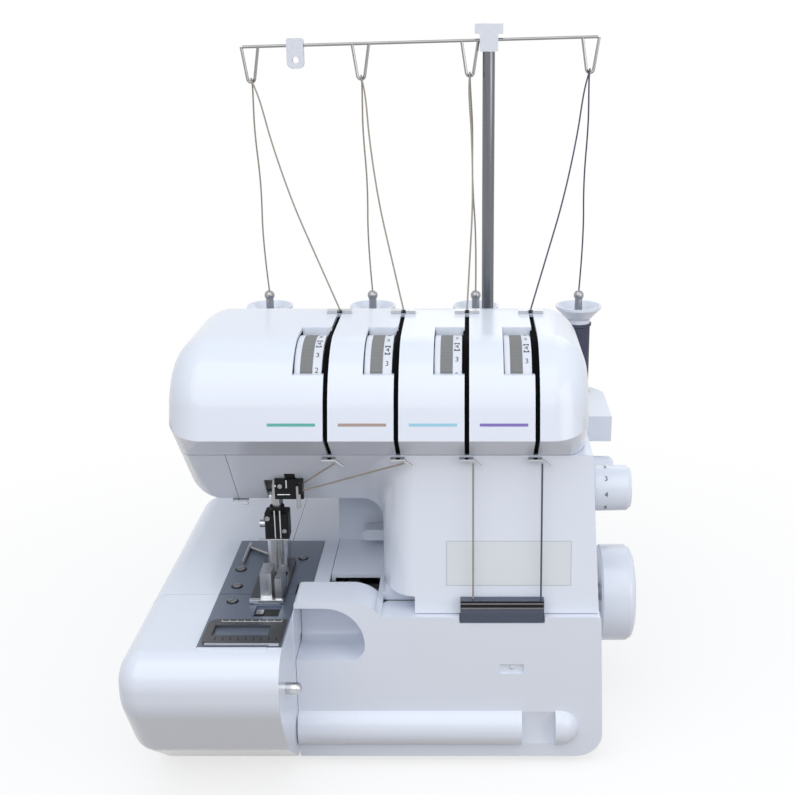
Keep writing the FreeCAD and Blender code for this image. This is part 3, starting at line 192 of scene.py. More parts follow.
# %% [markdown]
# ## Shared surface effects
# Nearly every finish here needs the same two things: a slow drift of tone, and a fine relief.
# Both are put in shader node groups, built once and placed in each material with its own values.
# A group gives out only what changes over the surface: a colour, a roughness and a height.

# %% Build the shared groups
COLOUR = "NodeSocketColor"
VALUE = "NodeSocketFloat"
VECTOR = "NodeSocketVector"
surface_sockets = [("Colour", COLOUR), ("Roughness", VALUE), ("Height", VALUE)]
pattern_low, pattern_high = 0.3, 0.7


def group_with(name, sockets_in):
    """A shader group with named inputs and the three surface outputs, and its end nodes."""
    group = bpy.data.node_groups.new(name, "ShaderNodeTree")
    for label, kind, value in sockets_in:
        socket = group.interface.new_socket(label, in_out="INPUT", socket_type=kind)
        if value is not None:
            socket.default_value = value
    for label, kind in surface_sockets:
        group.interface.new_socket(label, in_out="OUTPUT", socket_type=kind)
    return group, group.nodes.new("NodeGroupInput"), group.nodes.new("NodeGroupOutput")


def noise_in(group, vector, scale, detail):
    """A noise texture in a group, fed by a vector and a scale socket."""
    noise = group.nodes.new("ShaderNodeTexNoise")
    noise.inputs["Detail"].default_value = detail
    group.links.new(vector, noise.inputs["Vector"])
    group.links.new(scale, noise.inputs["Scale"])
    return noise.outputs["Fac"]


def ranged(group, value, low, high):
    """The busy middle of a pattern's values, moved to a range given by two sockets."""
    span = group.nodes.new("ShaderNodeMapRange")
    group.links.new(value, span.inputs["Value"])
    span.inputs["From Min"].default_value = pattern_low
    span.inputs["From Max"].default_value = pattern_high
    group.links.new(low, span.inputs["To Min"])
    group.links.new(high, span.inputs["To Max"])
    return span.outputs["Result"]


def tinted(group, value, first, second):
    """A colour between two sockets, chosen by a pattern's value."""
    mix = group.nodes.new("ShaderNodeMix")
    mix.data_type = "RGBA"
    group.links.new(value, mix.inputs["Factor"])
    group.links.new(first, mix.inputs["A"])
    group.links.new(second, mix.inputs["B"])
    return mix.outputs["Result"]


moulded, given, made = group_with("moulded_skin", [
    ("Vector", VECTOR, None),
    ("Colour", COLOUR, (0.8, 0.8, 0.8, 1.0)),
    ("Second Colour", COLOUR, (0.75, 0.75, 0.75, 1.0)),
    ("Drift Scale", VALUE, 9.0),
    ("Grain Scale", VALUE, 1400.0),
    ("Smooth", VALUE, 0.22),
    ("Rough", VALUE, 0.34),
])
have = given.outputs
drift = noise_in(moulded, have["Vector"], have["Drift Scale"], detail=2.0)
grain = noise_in(moulded, have["Vector"], have["Grain Scale"], detail=3.0)
moulded.links.new(tinted(moulded, drift, have["Colour"], have["Second Colour"]),
                  made.inputs["Colour"])
moulded.links.new(ranged(moulded, drift, have["Smooth"], have["Rough"]),
                  made.inputs["Roughness"])
moulded.links.new(grain, made.inputs["Height"])

ground, given, made = group_with("ground_lines", [
    ("Vector", VECTOR, None),
    ("Stretch", VECTOR, (60.0, 2500.0, 2500.0)),
    ("Colour", COLOUR, (0.6, 0.6, 0.6, 1.0)),
    ("Second Colour", COLOUR, (0.5, 0.5, 0.5, 1.0)),
    ("Line Scale", VALUE, 1.0),
    ("Smooth", VALUE, 0.2),
    ("Rough", VALUE, 0.4),
])
have = given.outputs
drawn = ground.nodes.new("ShaderNodeVectorMath")
drawn.operation = "MULTIPLY"
ground.links.new(have["Vector"], drawn.inputs[0])
ground.links.new(have["Stretch"], drawn.inputs[1])
lines = noise_in(ground, drawn.outputs[0], have["Line Scale"], detail=2.0)
ground.links.new(tinted(ground, lines, have["Colour"], have["Second Colour"]),
                 made.inputs["Colour"])
ground.links.new(ranged(ground, lines, have["Smooth"], have["Rough"]), made.inputs["Roughness"])
ground.links.new(lines, made.inputs["Height"])
print("groups:", [g.name for g in bpy.data.node_groups])

# %% [markdown]
# ## Finishes
# The housing is glossy white plastic with a cool cast, and the plates are slate-blue painted sheet.
# Clips and pins are bright plate, the mast and its wire a darker plate, the foot satin, and the
# works inside are ground steel and cast alloy. Each material is one Principled shader fed by one of
# the groups above; numbers that are the same all over stay on the shader's own sockets.

# %% Mix the finishes
relief_depth = 0.0002


def finish(name, group, colour, second, bump, metal=0.0, coat=0.0, shine=0.5, **settings):
    """A material: group to colour, roughness and relief of one Principled shader."""
    material = bpy.data.materials.new(name)
    material.use_nodes = True
    tree = material.node_tree
    shader = tree.nodes["Principled BSDF"]
    place = tree.nodes.new("ShaderNodeTexCoord")
    effect = tree.nodes.new("ShaderNodeGroup")
    effect.node_tree = group
    tree.links.new(place.outputs["Object"], effect.inputs["Vector"])
    effect.inputs["Colour"].default_value = (*colour, 1.0)
    effect.inputs["Second Colour"].default_value = (*second, 1.0)
    for label, value in settings.items():
        effect.inputs[label.replace("_", " ").title()].default_value = value
    relief = tree.nodes.new("ShaderNodeBump")
    relief.inputs["Strength"].default_value = bump
    relief.inputs["Distance"].default_value = relief_depth
    tree.links.new(effect.outputs["Height"], relief.inputs["Height"])
    tree.links.new(effect.outputs["Colour"], shader.inputs["Base Color"])
    tree.links.new(effect.outputs["Roughness"], shader.inputs["Roughness"])
    tree.links.new(relief.outputs["Normal"], shader.inputs["Normal"])
    shader.inputs["Metallic"].default_value = metal
    shader.inputs["Coat Weight"].default_value = coat
    shader.inputs["Specular IOR Level"].default_value = shine
    return material


drawn_down = (900.0, 900.0, 40.0)
drawn_across = (70.0, 2000.0, 2000.0)
white = finish("white_moulding", moulded, (0.745, 0.785, 0.875), (0.72, 0.76, 0.85), 0.03,
               coat=0.12, grain_scale=900.0, smooth=0.16, rough=0.24)
white_matt = finish("white_fitting", moulded, (0.71, 0.735, 0.80), (0.67, 0.70, 0.765), 0.06,
                    grain_scale=1600.0, smooth=0.30, rough=0.42)
grip = finish("dial_grip", moulded, (0.20, 0.205, 0.205), (0.17, 0.174, 0.175), 0.25,
              grain_scale=2200.0, smooth=0.42, rough=0.58)
black = finish("black_moulding", moulded, (0.008, 0.008, 0.009), (0.013, 0.013, 0.015), 0.18,
               shine=0.16, grain_scale=2000.0, smooth=0.35, rough=0.5)
slot_black = finish("slot_black", moulded, (0.003, 0.003, 0.004), (0.005, 0.005, 0.006), 0.10,
                    shine=0.02, grain_scale=2000.0, smooth=0.60, rough=0.80)
rubber = finish("foot_rubber", moulded, (0.022, 0.022, 0.022), (0.035, 0.035, 0.036), 0.35,
                grain_scale=1200.0, smooth=0.65, rough=0.85)
slate = finish("slate_sheet", ground, (0.165, 0.195, 0.255), (0.20, 0.235, 0.30), 0.06, metal=0.65,
               stretch=(2600.0, 90.0, 900.0), smooth=0.30, rough=0.46)
chrome = finish("bright_plate", ground, (0.56, 0.57, 0.59), (0.48, 0.49, 0.515), 0.03, metal=1.0,
                stretch=drawn_down, smooth=0.10, rough=0.22)
mast_plate = finish("mast_plate", ground, (0.20, 0.205, 0.225), (0.15, 0.155, 0.17), 0.03,
                    metal=1.0, stretch=drawn_down, smooth=0.12, rough=0.24)
wire_plate = finish("wire_plate", ground, (0.33, 0.33, 0.335), (0.25, 0.25, 0.255), 0.03,
                    metal=1.0, stretch=(40.0, 900.0, 900.0), smooth=0.14, rough=0.26)
satin = finish("satin_foot", ground, (0.72, 0.735, 0.76), (0.63, 0.645, 0.67), 0.05, metal=1.0,
               stretch=drawn_down, smooth=0.26, rough=0.38)
steel = finish("ground_steel", ground, (0.40, 0.405, 0.42), (0.30, 0.305, 0.32), 0.10, metal=1.0,
               stretch=drawn_across, smooth=0.24, rough=0.42)
# Dark steel is the seam guide's own dark frame, and also painted shade on the presser foot's sole.
dark_steel_and_sole_shade = finish("dark_steel_and_sole_shade", ground, (0.10, 0.105, 0.115), (0.15, 0.155, 0.165), 0.10,
                    metal=0.9, stretch=drawn_across, smooth=0.28, rough=0.46)
cast = finish("cast_alloy", moulded, (0.42, 0.425, 0.435), (0.35, 0.355, 0.365), 0.5, metal=0.9,
              grain_scale=700.0, smooth=0.42, rough=0.62)
bronze = finish("sintered_bronze", moulded, (0.42, 0.25, 0.10), (0.34, 0.20, 0.08), 0.3, metal=1.0,
                grain_scale=2400.0, smooth=0.35, rough=0.5)
bare_label = finish("bare_label", moulded, (0.70, 0.74, 0.775), (0.685, 0.725, 0.76), 0.02,
                    grain_scale=2400.0, smooth=0.20, rough=0.26)
print(len(bpy.data.materials), "finishes so far")

# %% [markdown]
# ## Thread and window finishes
# Sewing thread is two or three plies twisted together, so a close look shows slanting ridges. A
# wave texture turned across the thread gives that slant. The little window over the looper
# threads is smoked clear plastic: dark, glossy and partly see-through.

# %% Mix thread and window
twisted, given, made = group_with("twisted_ply", [
    ("Vector", VECTOR, None),
    ("Colour", COLOUR, (0.8, 0.7, 0.5, 1.0)),
    ("Second Colour", COLOUR, (0.6, 0.5, 0.35, 1.0)),
    ("Ply Scale", VALUE, 400.0),
    ("Smooth", VALUE, 0.6),
    ("Rough", VALUE, 0.85),
])
have = given.outputs
plies = twisted.nodes.new("ShaderNodeTexWave")
plies.bands_direction = "DIAGONAL"
plies.inputs["Distortion"].default_value = 0.8
twisted.links.new(have["Vector"], plies.inputs["Vector"])
twisted.links.new(have["Ply Scale"], plies.inputs["Scale"])
ridge = plies.outputs["Fac"]
twisted.links.new(tinted(twisted, ridge, have["Second Colour"], have["Colour"]),
                  made.inputs["Colour"])
twisted.links.new(ranged(twisted, ridge, have["Rough"], have["Smooth"]), made.inputs["Roughness"])
twisted.links.new(ridge, made.inputs["Height"])

cream_thread = finish("cream_thread", twisted, (0.42, 0.38, 0.32), (0.25, 0.22, 0.19), 0.8)
dark_thread = finish("dark_thread", twisted, (0.10, 0.10, 0.16), (0.05, 0.05, 0.09), 0.8)
smoke = finish("smoked_pane", moulded, (0.055, 0.075, 0.13), (0.045, 0.06, 0.11), 0.01, coat=0.5,
               smooth=0.05, rough=0.1)
smoke.node_tree.nodes["Principled BSDF"].inputs["Alpha"].default_value = 0.82
print("thread and window finishes ready")

# %% [markdown]
# ## Skins
# A CAD node arrives as loose triangles. So a copy of it is welded and shaded smooth up to a
# crease angle: a rounded edge then catches one soft highlight, and a real corner stays crisp.
# The copy stands for its node, and the node itself is never touched. The works inside get a copy
# too, because an open cover shows some of them. Threads, spools and tension dials come later.

# %% Weld and shade the nodes
bodies = frame["record"]["behaviour"]["bodies"]
body_of_node = {node: body for body, members in bodies.items() for node in members}


def shade_smooth(bm, crease):
    """Smooth faces, with a sharp edge where two of them meet at more than a crease angle."""
    for face in bm.faces:
        face.smooth = True
    for edge in bm.edges:
        if len(edge.link_faces) != 2 or edge.calc_face_angle(0.0) > math.radians(crease):
            edge.smooth = False


def skin(name, *materials, crease=32.0):
    """A welded, smooth-shaded copy of a CAD node, riding on the node's body."""
    mesh = nodes[name].data.copy()
    mesh.name = name + "_skin"
    bm = bmesh.new()
    bm.from_mesh(mesh)
    bmesh.ops.remove_doubles(bm, verts=bm.verts, dist=1e-6)
    shade_smooth(bm, crease)
    for face in bm.faces:
        face.material_index = 0
    bm.to_mesh(mesh)
    bm.free()
    if "custom_normal" in mesh.attributes:
        mesh.attributes.remove(mesh.attributes["custom_normal"])
    mesh.materials.clear()
    for material in materials:
        mesh.materials.append(material)
    piece = placed(name + "_skin", mesh)
    flat_first = piece.modifiers.new("flat_faces_first", "WEIGHTED_NORMAL")
    flat_first.mode = "FACE_AREA"
    flat_first.keep_sharp = True
    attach(piece, body_of_node[name])
    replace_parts(piece, name)
    return piece


finishes = {
    white: ["base_tray", "front_casing", "rear_cover", "head_cover", "face_cover", "bed_casing",
            "front_cover", "cloth_plate", "handwheel", "spool_stand", "spool_caps",
            "stitch_length_dial", "differential_dial"],
    white_matt: ["mast_fittings", "presser_lifter"],
    slate: ["needle_plate", "front_plate"],
    chrome: ["thread_guides", "tension_discs", "latch_pin"],
    mast_plate: ["mast_rod", "mast_tube"],
    wire_plate: ["guide_bar"],
    satin: ["presser_foot"],
    steel: ["needle_bar", "presser_bar", "needles", "main_shaft", "pivot_pins", "feed_dog",
            "stitch_finger_lever", "lower_knife", "upper_knife", "lower_looper", "upper_looper",
            "tension_bracket", "motor"],
    cast: ["frame_casting"],
    bronze: ["shaft_bushes"],
    rubber: ["rubber_feet", "drive_belt"],
    slot_black: ["slot_liners"],
    black: ["needle_clamp", "motor_pulley", "shaft_pulley", "power_inlet", "power_switch"],
    dark_steel_and_sole_shade: ["seam_guide"],
    smoke: ["thread_window"],
}
skins = {}
for material, names in finishes.items():
    for name in names:
        skins[name] = skin(name, material)
print(len(skins), "nodes have a welded skin")

# %% [markdown]
# ## Second finishes
# A few nodes join pieces of different finish: a black needle guide among bright clips, a bright
# screw on the black clamp, steel pins on the white stand, and the foot's sole, darkened as painted
# shade. A face's place is enough to tell them apart. The clips under the head are slim bent wire on
# the real machine, so their faces leave the copy here, and new pieces stand for them further down.

# %% Split the finishes
guide_right, guide_top_z = -0.055, 0.205
clamp_left = -0.0881
stand_top_z = 0.195
# Below this height and behind the toe, the chrome foot's sole is darkened as painted shade.
shaded_sole_top_z, shaded_sole_front = 0.1165, -0.0745
clip_top_z = 0.215
second_finishes = [
    ("thread_guides", black, lambda c: c.x < guide_right and c.z < guide_top_z),
    ("needle_clamp", chrome, lambda c: c.x < clamp_left),
    ("spool_stand", steel, lambda c: c.z > stand_top_z),
    ("presser_foot", dark_steel_and_sole_shade, lambda c: c.z < shaded_sole_top_z and c.y > shaded_sole_front),
]
for name, material, inside in second_finishes:
    mesh = skins[name].data
    mesh.materials.append(material)
    chosen = [face for face in mesh.polygons if inside(face.center)]
    for face in chosen:
        face.material_index = len(mesh.materials) - 1
    print(name, "has", len(chosen), "faces in", material.name)
bm = bmesh.new()
bm.from_mesh(skins["thread_guides"].data)
clips = []
for face in bm.faces:
    centre = face.calc_center_median()
    if centre.x > guide_right and centre.z < clip_top_z:
        clips.append(face)
print(len(clips), "faces of the front clips are left to new pieces")
bmesh.ops.delete(bm, geom=clips, context="FACES")
bm.to_mesh(skins["thread_guides"].data)
bm.free()

# %% [markdown]
# ## The finger hollow
# The roll along the front cover stops short so that a finger can get behind its end and pull the
# cover open. The floor there is dished. A boolean with a wide lying cylinder carves the dish out
# of the welded copy, which keeps its edges crisp where inset faces would follow the triangles.

# %% Dish the finger hollow
hollow_middle = Vector((0.0958, -0.089, 0.027))
hollow_half = Vector((0.01105, 0.0, 0.0122))
hollow_deep = 0.0017
hollow_radius = (hollow_half.z ** 2 + hollow_deep ** 2) / (2 * hollow_deep)
rim_margin = 1e-4
rim_angle = math.radians(6.0)
lying = Matrix.Rotation(math.radians(90.0), 3, "Y")
bm = bmesh.new()
bmesh.ops.create_cone(bm, cap_ends=True, segments=256, radius1=hollow_radius,
                      radius2=hollow_radius, depth=2 * hollow_half.x)
bmesh.ops.rotate(bm, verts=bm.verts, cent=(0, 0, 0), matrix=lying)
bmesh.ops.translate(bm, verts=bm.verts,
                    vec=hollow_middle + Vector((0.0, hollow_deep - hollow_radius, 0.0)))
tool_mesh = bpy.data.meshes.new("hollow_tool")
bm.to_mesh(tool_mesh)
bm.free()
tool = placed("hollow_tool", tool_mesh)
blank = placed("hollow_blank", skins["front_cover"].data)
carve = blank.modifiers.new("carve", "BOOLEAN")
carve.operation = "DIFFERENCE"
carve.solver = "EXACT"
carve.object = tool
carved = blank.evaluated_get(bpy.context.evaluated_depsgraph_get())
dished = bpy.data.meshes.new_from_object(carved)
bpy.data.objects.remove(blank)
bpy.data.objects.remove(tool)
bm = bmesh.new()
bm.from_mesh(dished)
rims = 0
for edge in bm.edges:
    off = (edge.verts[0].co + edge.verts[1].co) / 2 - hollow_middle
    beside = abs(off.x) < hollow_half.x + rim_margin and abs(off.z) < hollow_half.z + rim_margin
    if beside and abs(off.y) < hollow_deep + rim_margin and edge.calc_face_angle(0.0) > rim_angle:
        edge.smooth = False
        rims += 1
for face in bm.faces:
    face.smooth = True
bm.to_mesh(dished)
bm.free()
dished.name = "front_cover_skin_dished"
skins["front_cover"].data = dished
print("finger hollow", hollow_deep * 1000, "mm deep, with", rims, "crisp edges")

# %% [markdown]
# ## Threads
# Each thread rises from its spool, passes through a wire eye on the telescopic mast and drops to
# a guide on the head. It is a cord, so it gets one smooth NURBS line, led by the same points as
# the CAD tube, and a round section on that line. The mast slides down for storage.

# %% Run the threads
thread_wide = 0.0012
mast_y = 0.101
spool_y, spool_z = 0.138, 0.2763
head_guide_y, head_guide_z = 0.020, 0.2888
bar_left_x, bar_left_z = -0.112, 0.461
bar_long, bar_rise = 0.253, 0.007
eye_drop, eye_over = 0.024502, 0.0026
rise_steps = [0.25, 0.51, 0.76, 0.89, 0.96]
rise_sway = [-0.0016, 0.0005, -0.0010, -0.0003, 0.0001]
fall_steps = [0.05, 0.12, 0.27, 0.53, 0.77]
fall_sway = [0.0005, 0.0003, -0.0020, -0.0032, -0.0016]
spool_places = [-0.108, -0.026667, 0.054667, 0.136]
eye_places = [-0.107, -0.028, 0.050, 0.136]
slot_places = [-0.040, 0.004, 0.048, 0.092]


def thread_points(i):
    """The route of thread i, point for point as in the CAD frame."""
    side = 1 if i < 2 else -1
    bar = bar_left_z + bar_rise * (eye_places[i] - bar_left_x) / bar_long
    eye_low = bar - eye_drop + eye_over
    start = Vector((spool_places[i], spool_y, spool_z))
    back = Vector((eye_places[i], mast_y + eye_over, eye_low))
    front = Vector((eye_places[i], mast_y - eye_over, eye_low))
    end = Vector((slot_places[i], head_guide_y, head_guide_z))
    points = [start]
    for step, sway in zip(rise_steps, rise_sway):
        points.append(start.lerp(back, step) + Vector((sway * side, sway, 0.0)))
    points += [back, front]
    for step, sway in zip(fall_steps, fall_sway):
        points.append(front.lerp(end, step) + Vector((sway * side, 0.0, sway)))
    return points + [end]


def nurbs_line(name, points):
    """A curve object with one open NURBS spline of order 3."""
    curve = bpy.data.curves.new(name, "CURVE")
    curve.dimensions = "3D"
    spline = curve.splines.new("NURBS")
    spline.points.add(len(points) - 1)
    for control, point in zip(spline.points, points):
        control.co = (*point, 1.0)
    spline.order_u = 3
    spline.use_endpoint_u = True
    spline.resolution_u = 8
    curve.use_fill_caps = True
    return placed(name, curve)


def thread_piece(name, points, material):
    """A round mesh tube on a NURBS line."""
    line = nurbs_line(name + "_line", points)
    bpy.context.view_layer.update()
    path = [v.co.copy() for v in bpy.data.meshes.new_from_object(line).vertices]
    line.data.bevel_depth = thread_wide / 2
    line.data.bevel_resolution = 2
    bpy.context.view_layer.update()
    mesh = bpy.data.meshes.new_from_object(line)
    mesh.name = name
    mesh.materials.clear()
    mesh.materials.append(material)
    for polygon in mesh.polygons:
        polygon.use_smooth = True
    bpy.data.objects.remove(line)
    piece = placed(name, mesh)
    return piece


thread_nodes = [
    ("thread_left_needle", cream_thread),
    ("thread_right_needle", cream_thread),
    ("thread_upper_looper", cream_thread),
    ("thread_lower_looper", dark_thread),
]
for i, (node, material) in enumerate(thread_nodes):
    piece = thread_piece(node + "_line", thread_points(i), material)
    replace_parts(piece, node)
    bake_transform(piece)

# %% [markdown]
# ## Taut threads in front
# From the clips under the head two threads run to the needle guide and two drop behind the
# smoked window. They are under tension, so three points in a row are enough for each line.

# %% Stretch the front threads
front_runs = [
    ("front_left_needle", (-0.036, -0.0749, 0.2112), (-0.0591, -0.055, 0.19005), cream_thread),
    ("front_right_needle", (0.008, -0.0749, 0.2112), (-0.0591, -0.058, 0.18595), cream_thread),
    ("front_upper_looper", (0.052, -0.0751, 0.211), (0.052, -0.0865, 0.1218), cream_thread),
    ("front_lower_looper", (0.096, -0.0751, 0.211), (0.096, -0.0865, 0.1218), dark_thread),
]
for name, start, end, material in front_runs:
    halfway = Vector(start).lerp(Vector(end), 0.5)
    piece = thread_piece(name, [Vector(start), halfway, Vector(end)], material)
    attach(piece, "machine")
    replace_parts(piece, "front_threads")

# %% [markdown]
# ## Spools of thread
# A spool is wound from hundreds of fine turns. From a step away they read as a close horizontal
# ribbing, so the wound body keeps its CAD form and a wave along Z gives the turns. Three spools
# hold cream thread and the right one a dark thread.

# %% Wind the spools
def wound(name, colour, second):
    """Fine level turns on a wound body."""
    material = finish(name, twisted, colour, second, 0.9, ply_scale=700.0)
    tree = material.node_tree
    level = tree.nodes.new("ShaderNodeMapping")
    level.inputs["Scale"].default_value = (0.0, 0.0, 1.0)
    place = next(n for n in tree.nodes if n.type == "TEX_COORD")
    effect = next(n for n in tree.nodes if n.type == "GROUP")
    tree.links.new(place.outputs["Object"], level.inputs["Vector"])
    tree.links.new(level.outputs["Vector"], effect.inputs["Vector"])
    return material


cream_spool = wound("cream_spool", (0.62, 0.56, 0.44), (0.42, 0.36, 0.26))
dark_spool = wound("dark_spool", (0.075, 0.08, 0.13), (0.035, 0.04, 0.07))
dark_spool_left = 0.1
spools = skin("thread_spools", cream_spool, dark_spool)
for polygon in spools.data.polygons:
    if polygon.center.x > dark_spool_left:
        polygon.material_index = 1
print("spools:", len(spools.data.polygons), "faces")

# %% [markdown]
# ## Tension dials
# Each dial is a wheel that shows through a window in the head: a dark ribbed grip for the thumb
# between a white rim and a white band for the numbers. A circle of many vertices, extruded along
# X, makes each of the three. Moving every second pair of the circle's vertices inwards before the
# extrusion cuts the ribs of the grip.

# %% Turn the dial wheels
dial_axis = Vector((0.0, -0.0375, 0.2455))
rim_radius = 0.0386
rib_depth, rib_crease = 0.00035, 25.0
rim_soften, rim_corner = 0.0004, 1.0
grip_points, smooth_points = 360, 96
grip_span = (-0.0167, -0.0090)
band_span = (-0.0090, -0.0031)
rim_span = (-0.0205, -0.0167)
dial_bodies = ["left_needle_dial", "right_needle_dial", "upper_looper_dial", "lower_looper_dial"]


def piece_from(bm, name, body, *materials, smooth=35.0):
    """A mesh piece from a bmesh: outward faces, smooth up to a crease, riding on a body."""
    bmesh.ops.remove_doubles(bm, verts=bm.verts, dist=1e-7)
    bmesh.ops.recalc_face_normals(bm, faces=bm.faces)
    shade_smooth(bm, smooth)
    mesh = bpy.data.meshes.new(name)
    bm.to_mesh(mesh)
    bm.free()
    for material in materials:
        mesh.materials.append(material)
    piece = placed(name, mesh)
    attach(piece, body)
    return piece


def push(bm, faces, vec):
    """Extrudes faces along a vector, keeping the first ones as the other end."""
    pushed = bmesh.ops.extrude_face_region(bm, geom=faces, use_keep_orig=True)["geom"]
    moved = [g for g in pushed if isinstance(g, bmesh.types.BMVert)]
    bmesh.ops.translate(bm, verts=moved, vec=vec)


def soften_edges(bm, edges, amount):
    """Rounds edges over with two segments."""
    bmesh.ops.bevel(bm, geom=edges, offset=amount, affect="EDGES", segments=2, profile=0.5,
                    material=-1)


def dial_wheel(slot, span, ribbed):
    """A closed wheel on a dial's axis, between two distances from its thread slot."""
    low, high = slot + span[0], slot + span[1]
    points = grip_points if ribbed else smooth_points
    bm = bmesh.new()
    ring = bmesh.ops.create_circle(bm, cap_ends=True, radius=rim_radius, segments=points)["verts"]
    if ribbed:
        for k, vert in enumerate(ring):
            if k % 4 in (2, 3):
                vert.co *= (rim_radius - rib_depth) / rim_radius
    bmesh.ops.rotate(bm, verts=ring, cent=(0, 0, 0), matrix=lying)
    bmesh.ops.translate(bm, verts=ring, vec=(low, 0.0, 0.0))
    push(bm, list(bm.faces), (high - low, 0.0, 0.0))
    if not ribbed:
        paired = [e for e in bm.edges if len(e.link_faces) == 2]
        ends = [e for e in paired if e.calc_face_angle(0.0) > rim_corner]
        soften_edges(bm, ends, rim_soften)
    bmesh.ops.translate(bm, verts=bm.verts, vec=dial_axis)
    return bm


for i, body in enumerate(dial_bodies):
    slot, dial = slot_places[i], i + 1
    wheels = [
        piece_from(dial_wheel(slot, grip_span, True), "dial_grip_%d" % dial, body, grip,
                   smooth=rib_crease),
        piece_from(dial_wheel(slot, band_span, False), "dial_band_%d" % dial, body, white_matt),
        piece_from(dial_wheel(slot, rim_span, False), "dial_rim_%d" % dial, body, white_matt),
    ]
    for piece in wheels:
        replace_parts(piece, "tension_dial_%d" % dial)
    print("dial", dial, "has", [piece.name for piece in wheels])

# %% [markdown]
# ## Numbers on the dials
# Plain figures run round each white band, and a pair of brackets marks the usual setting, four.
# A painted texture would need a picture, so each figure is a thin text mesh, bent round the rim:
# its height on the flat becomes an angle on the wheel.

# %% Number the dials
number_ink = finish("dial_number_ink", moulded, (0.03, 0.03, 0.035), (0.05, 0.05, 0.055), 0.02)
number_size = 0.0052
number_step = math.radians(17.0)
number_x = -0.00625
four_angles = [74.0, 64.0, 69.0, 67.0]
bracket_wide, bracket_tall, bracket_line = 0.0036, 0.0012, 0.0009
bracket_off = 0.0037
ink_half = 0.00004
ink_lift = 0.00005


def bent_piece(name, mesh, x, angle, radius, axis, body):
    """Wraps a flat mesh round a wheel along X: its right is +X and its up runs up the rim."""
    for vert in mesh.vertices:
        turn = angle + vert.co.y / radius
        out_by = radius + ink_lift + vert.co.z
        vert.co = Vector((x + vert.co.x, axis.y - out_by * math.cos(turn),
                          axis.z + out_by * math.sin(turn)))
    mesh.name = name
    mesh.materials.clear()
    mesh.materials.append(number_ink)
    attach(placed(name, mesh), body)


def flat_number(number, size):
    """A thin mesh of a number, centred on the origin."""
    curve = bpy.data.curves.new("number", "FONT")
    curve.body = str(number)
    curve.size = size
    curve.align_x = "CENTER"
    curve.align_y = "CENTER"
    curve.extrude = ink_half
    holder = placed("number", curve)
    bpy.context.view_layer.update()
    mesh = bpy.data.meshes.new_from_object(holder)
    bpy.data.objects.remove(holder)
    return mesh


def flat_bracket(side):
    """A thin bar with two short ends, which turn down for side 1 and up for side -1."""
    bm = bmesh.new()
    bars = [(0.0, 0.0, bracket_wide, bracket_line)]
    for end in (-1, 1):
        bars.append((end * (bracket_wide - bracket_line) / 2, -side * bracket_tall / 2,
                     bracket_line, bracket_tall))
    for x, y, across, along in bars:
        bar = bmesh.ops.create_cube(bm, size=1.0)["verts"]
        bmesh.ops.scale(bm, verts=bar, vec=(across, along, 2 * ink_half))
        bmesh.ops.translate(bm, verts=bar, vec=(x, y, 0.0))
    mesh = bpy.data.meshes.new("bracket")
    bm.to_mesh(mesh)
    bm.free()
    return mesh


for i, body in enumerate(dial_bodies):
    across = slot_places[i] + number_x
    four = math.radians(four_angles[i])
    for number in range(10):
        bent_piece("dial_%d_number_%d" % (i + 1, number), flat_number(number, number_size), across,
                   four + number_step * (number - 4), rim_radius, dial_axis, body)
    for side in (-1, 1):
        bent_piece("dial_%d_bracket_%d" % (i + 1, side + 1), flat_bracket(side), across,
                   four + side * bracket_off / rim_radius, rim_radius, dial_axis, body)
print("numbers on", dial_bodies)

# %% [markdown]
# ## Thread guides and window lips
# Under the head a slim bar crosses each thread slot, with a hook that slopes off its right end, and
# above each dial a lip closes the window. These are small bent or moulded bars, so a scaled cube
# with bevelled edges is enough. Blocks, screws and bars from here on are given in millimetres.

# %% Hook the guides
mm = 0.001
guide_bar_sides, guide_soften = (9.0, 5.6, 1.3), 0.3
guide_hook_sides, guide_hook_turn = (7.4, 1.8, 1.1), 38.0


def cube(bm, sides, place, turn=0.0):
    """Adds a cube of given sides to a bmesh, turned about Y and moved to a place."""
    made = bmesh.ops.create_cube(bm, size=1.0)["verts"]
    bmesh.ops.scale(bm, verts=made, vec=[side * mm for side in sides])
    bmesh.ops.rotate(bm, verts=made, cent=(0, 0, 0),
                     matrix=Matrix.Rotation(math.radians(turn), 3, "Y"))
    bmesh.ops.translate(bm, verts=made, vec=[c * mm for c in place])


def block(name, low, high, body, material, soften=0.25):
    """A box with softened edges between two corners."""
    bm = bmesh.new()
    cube(bm, [b - a for a, b in zip(low, high)], [(a + b) / 2 for a, b in zip(low, high)])
    soften_edges(bm, list(bm.edges), soften * mm)
    piece = piece_from(bm, name, body, material)
    flat_first = piece.modifiers.new("flat_faces_first", "WEIGHTED_NORMAL")
    flat_first.keep_sharp = True


def front_guide(name, slot):
    """A thin bar across a thread slot, with a hook that slopes off its right end."""
    bm = bmesh.new()
    cube(bm, guide_bar_sides, (slot - 0.4, -71.4, 212.7))
    cube(bm, guide_hook_sides, (slot + 6.4, -73.4, 210.9), guide_hook_turn)
    soften_edges(bm, list(bm.edges), guide_soften * mm)
    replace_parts(piece_from(bm, name, "machine", chrome), "thread_guides")


for k, slot_place in enumerate(slot_places):
    slot = slot_place / mm
    front_guide("front_guide_%d" % (k + 1), slot)
    block("window_lip_%d" % (k + 1), (slot - 20.8, -18.3, 280.3), (slot - 2.2, -16.8, 285.8),
          "machine", white)
print(len(slot_places), "guides under the head and as many window lips")

# %% [markdown]
# ## Screws
# Slotted screws hold the plates, the needle guide, the clamp and the rear cover. A slotted head is
# a low disc with two half discs on it, which leave the driver's slot between them, on a black ring
# that is painted shadow round the head.

# %% Drive the screws
plate_top = 113.3
rear_wall = 118.0
level, to_front, to_rear = 0.0, 90.0, -90.0
shadow_ring_foot, shadow_ring_top, shadow_ring_thick = 1.42, 1.36, 0.12
head_thick, screw_tall, driver_half = 0.3, 0.9, 0.16
arc_steps = 16


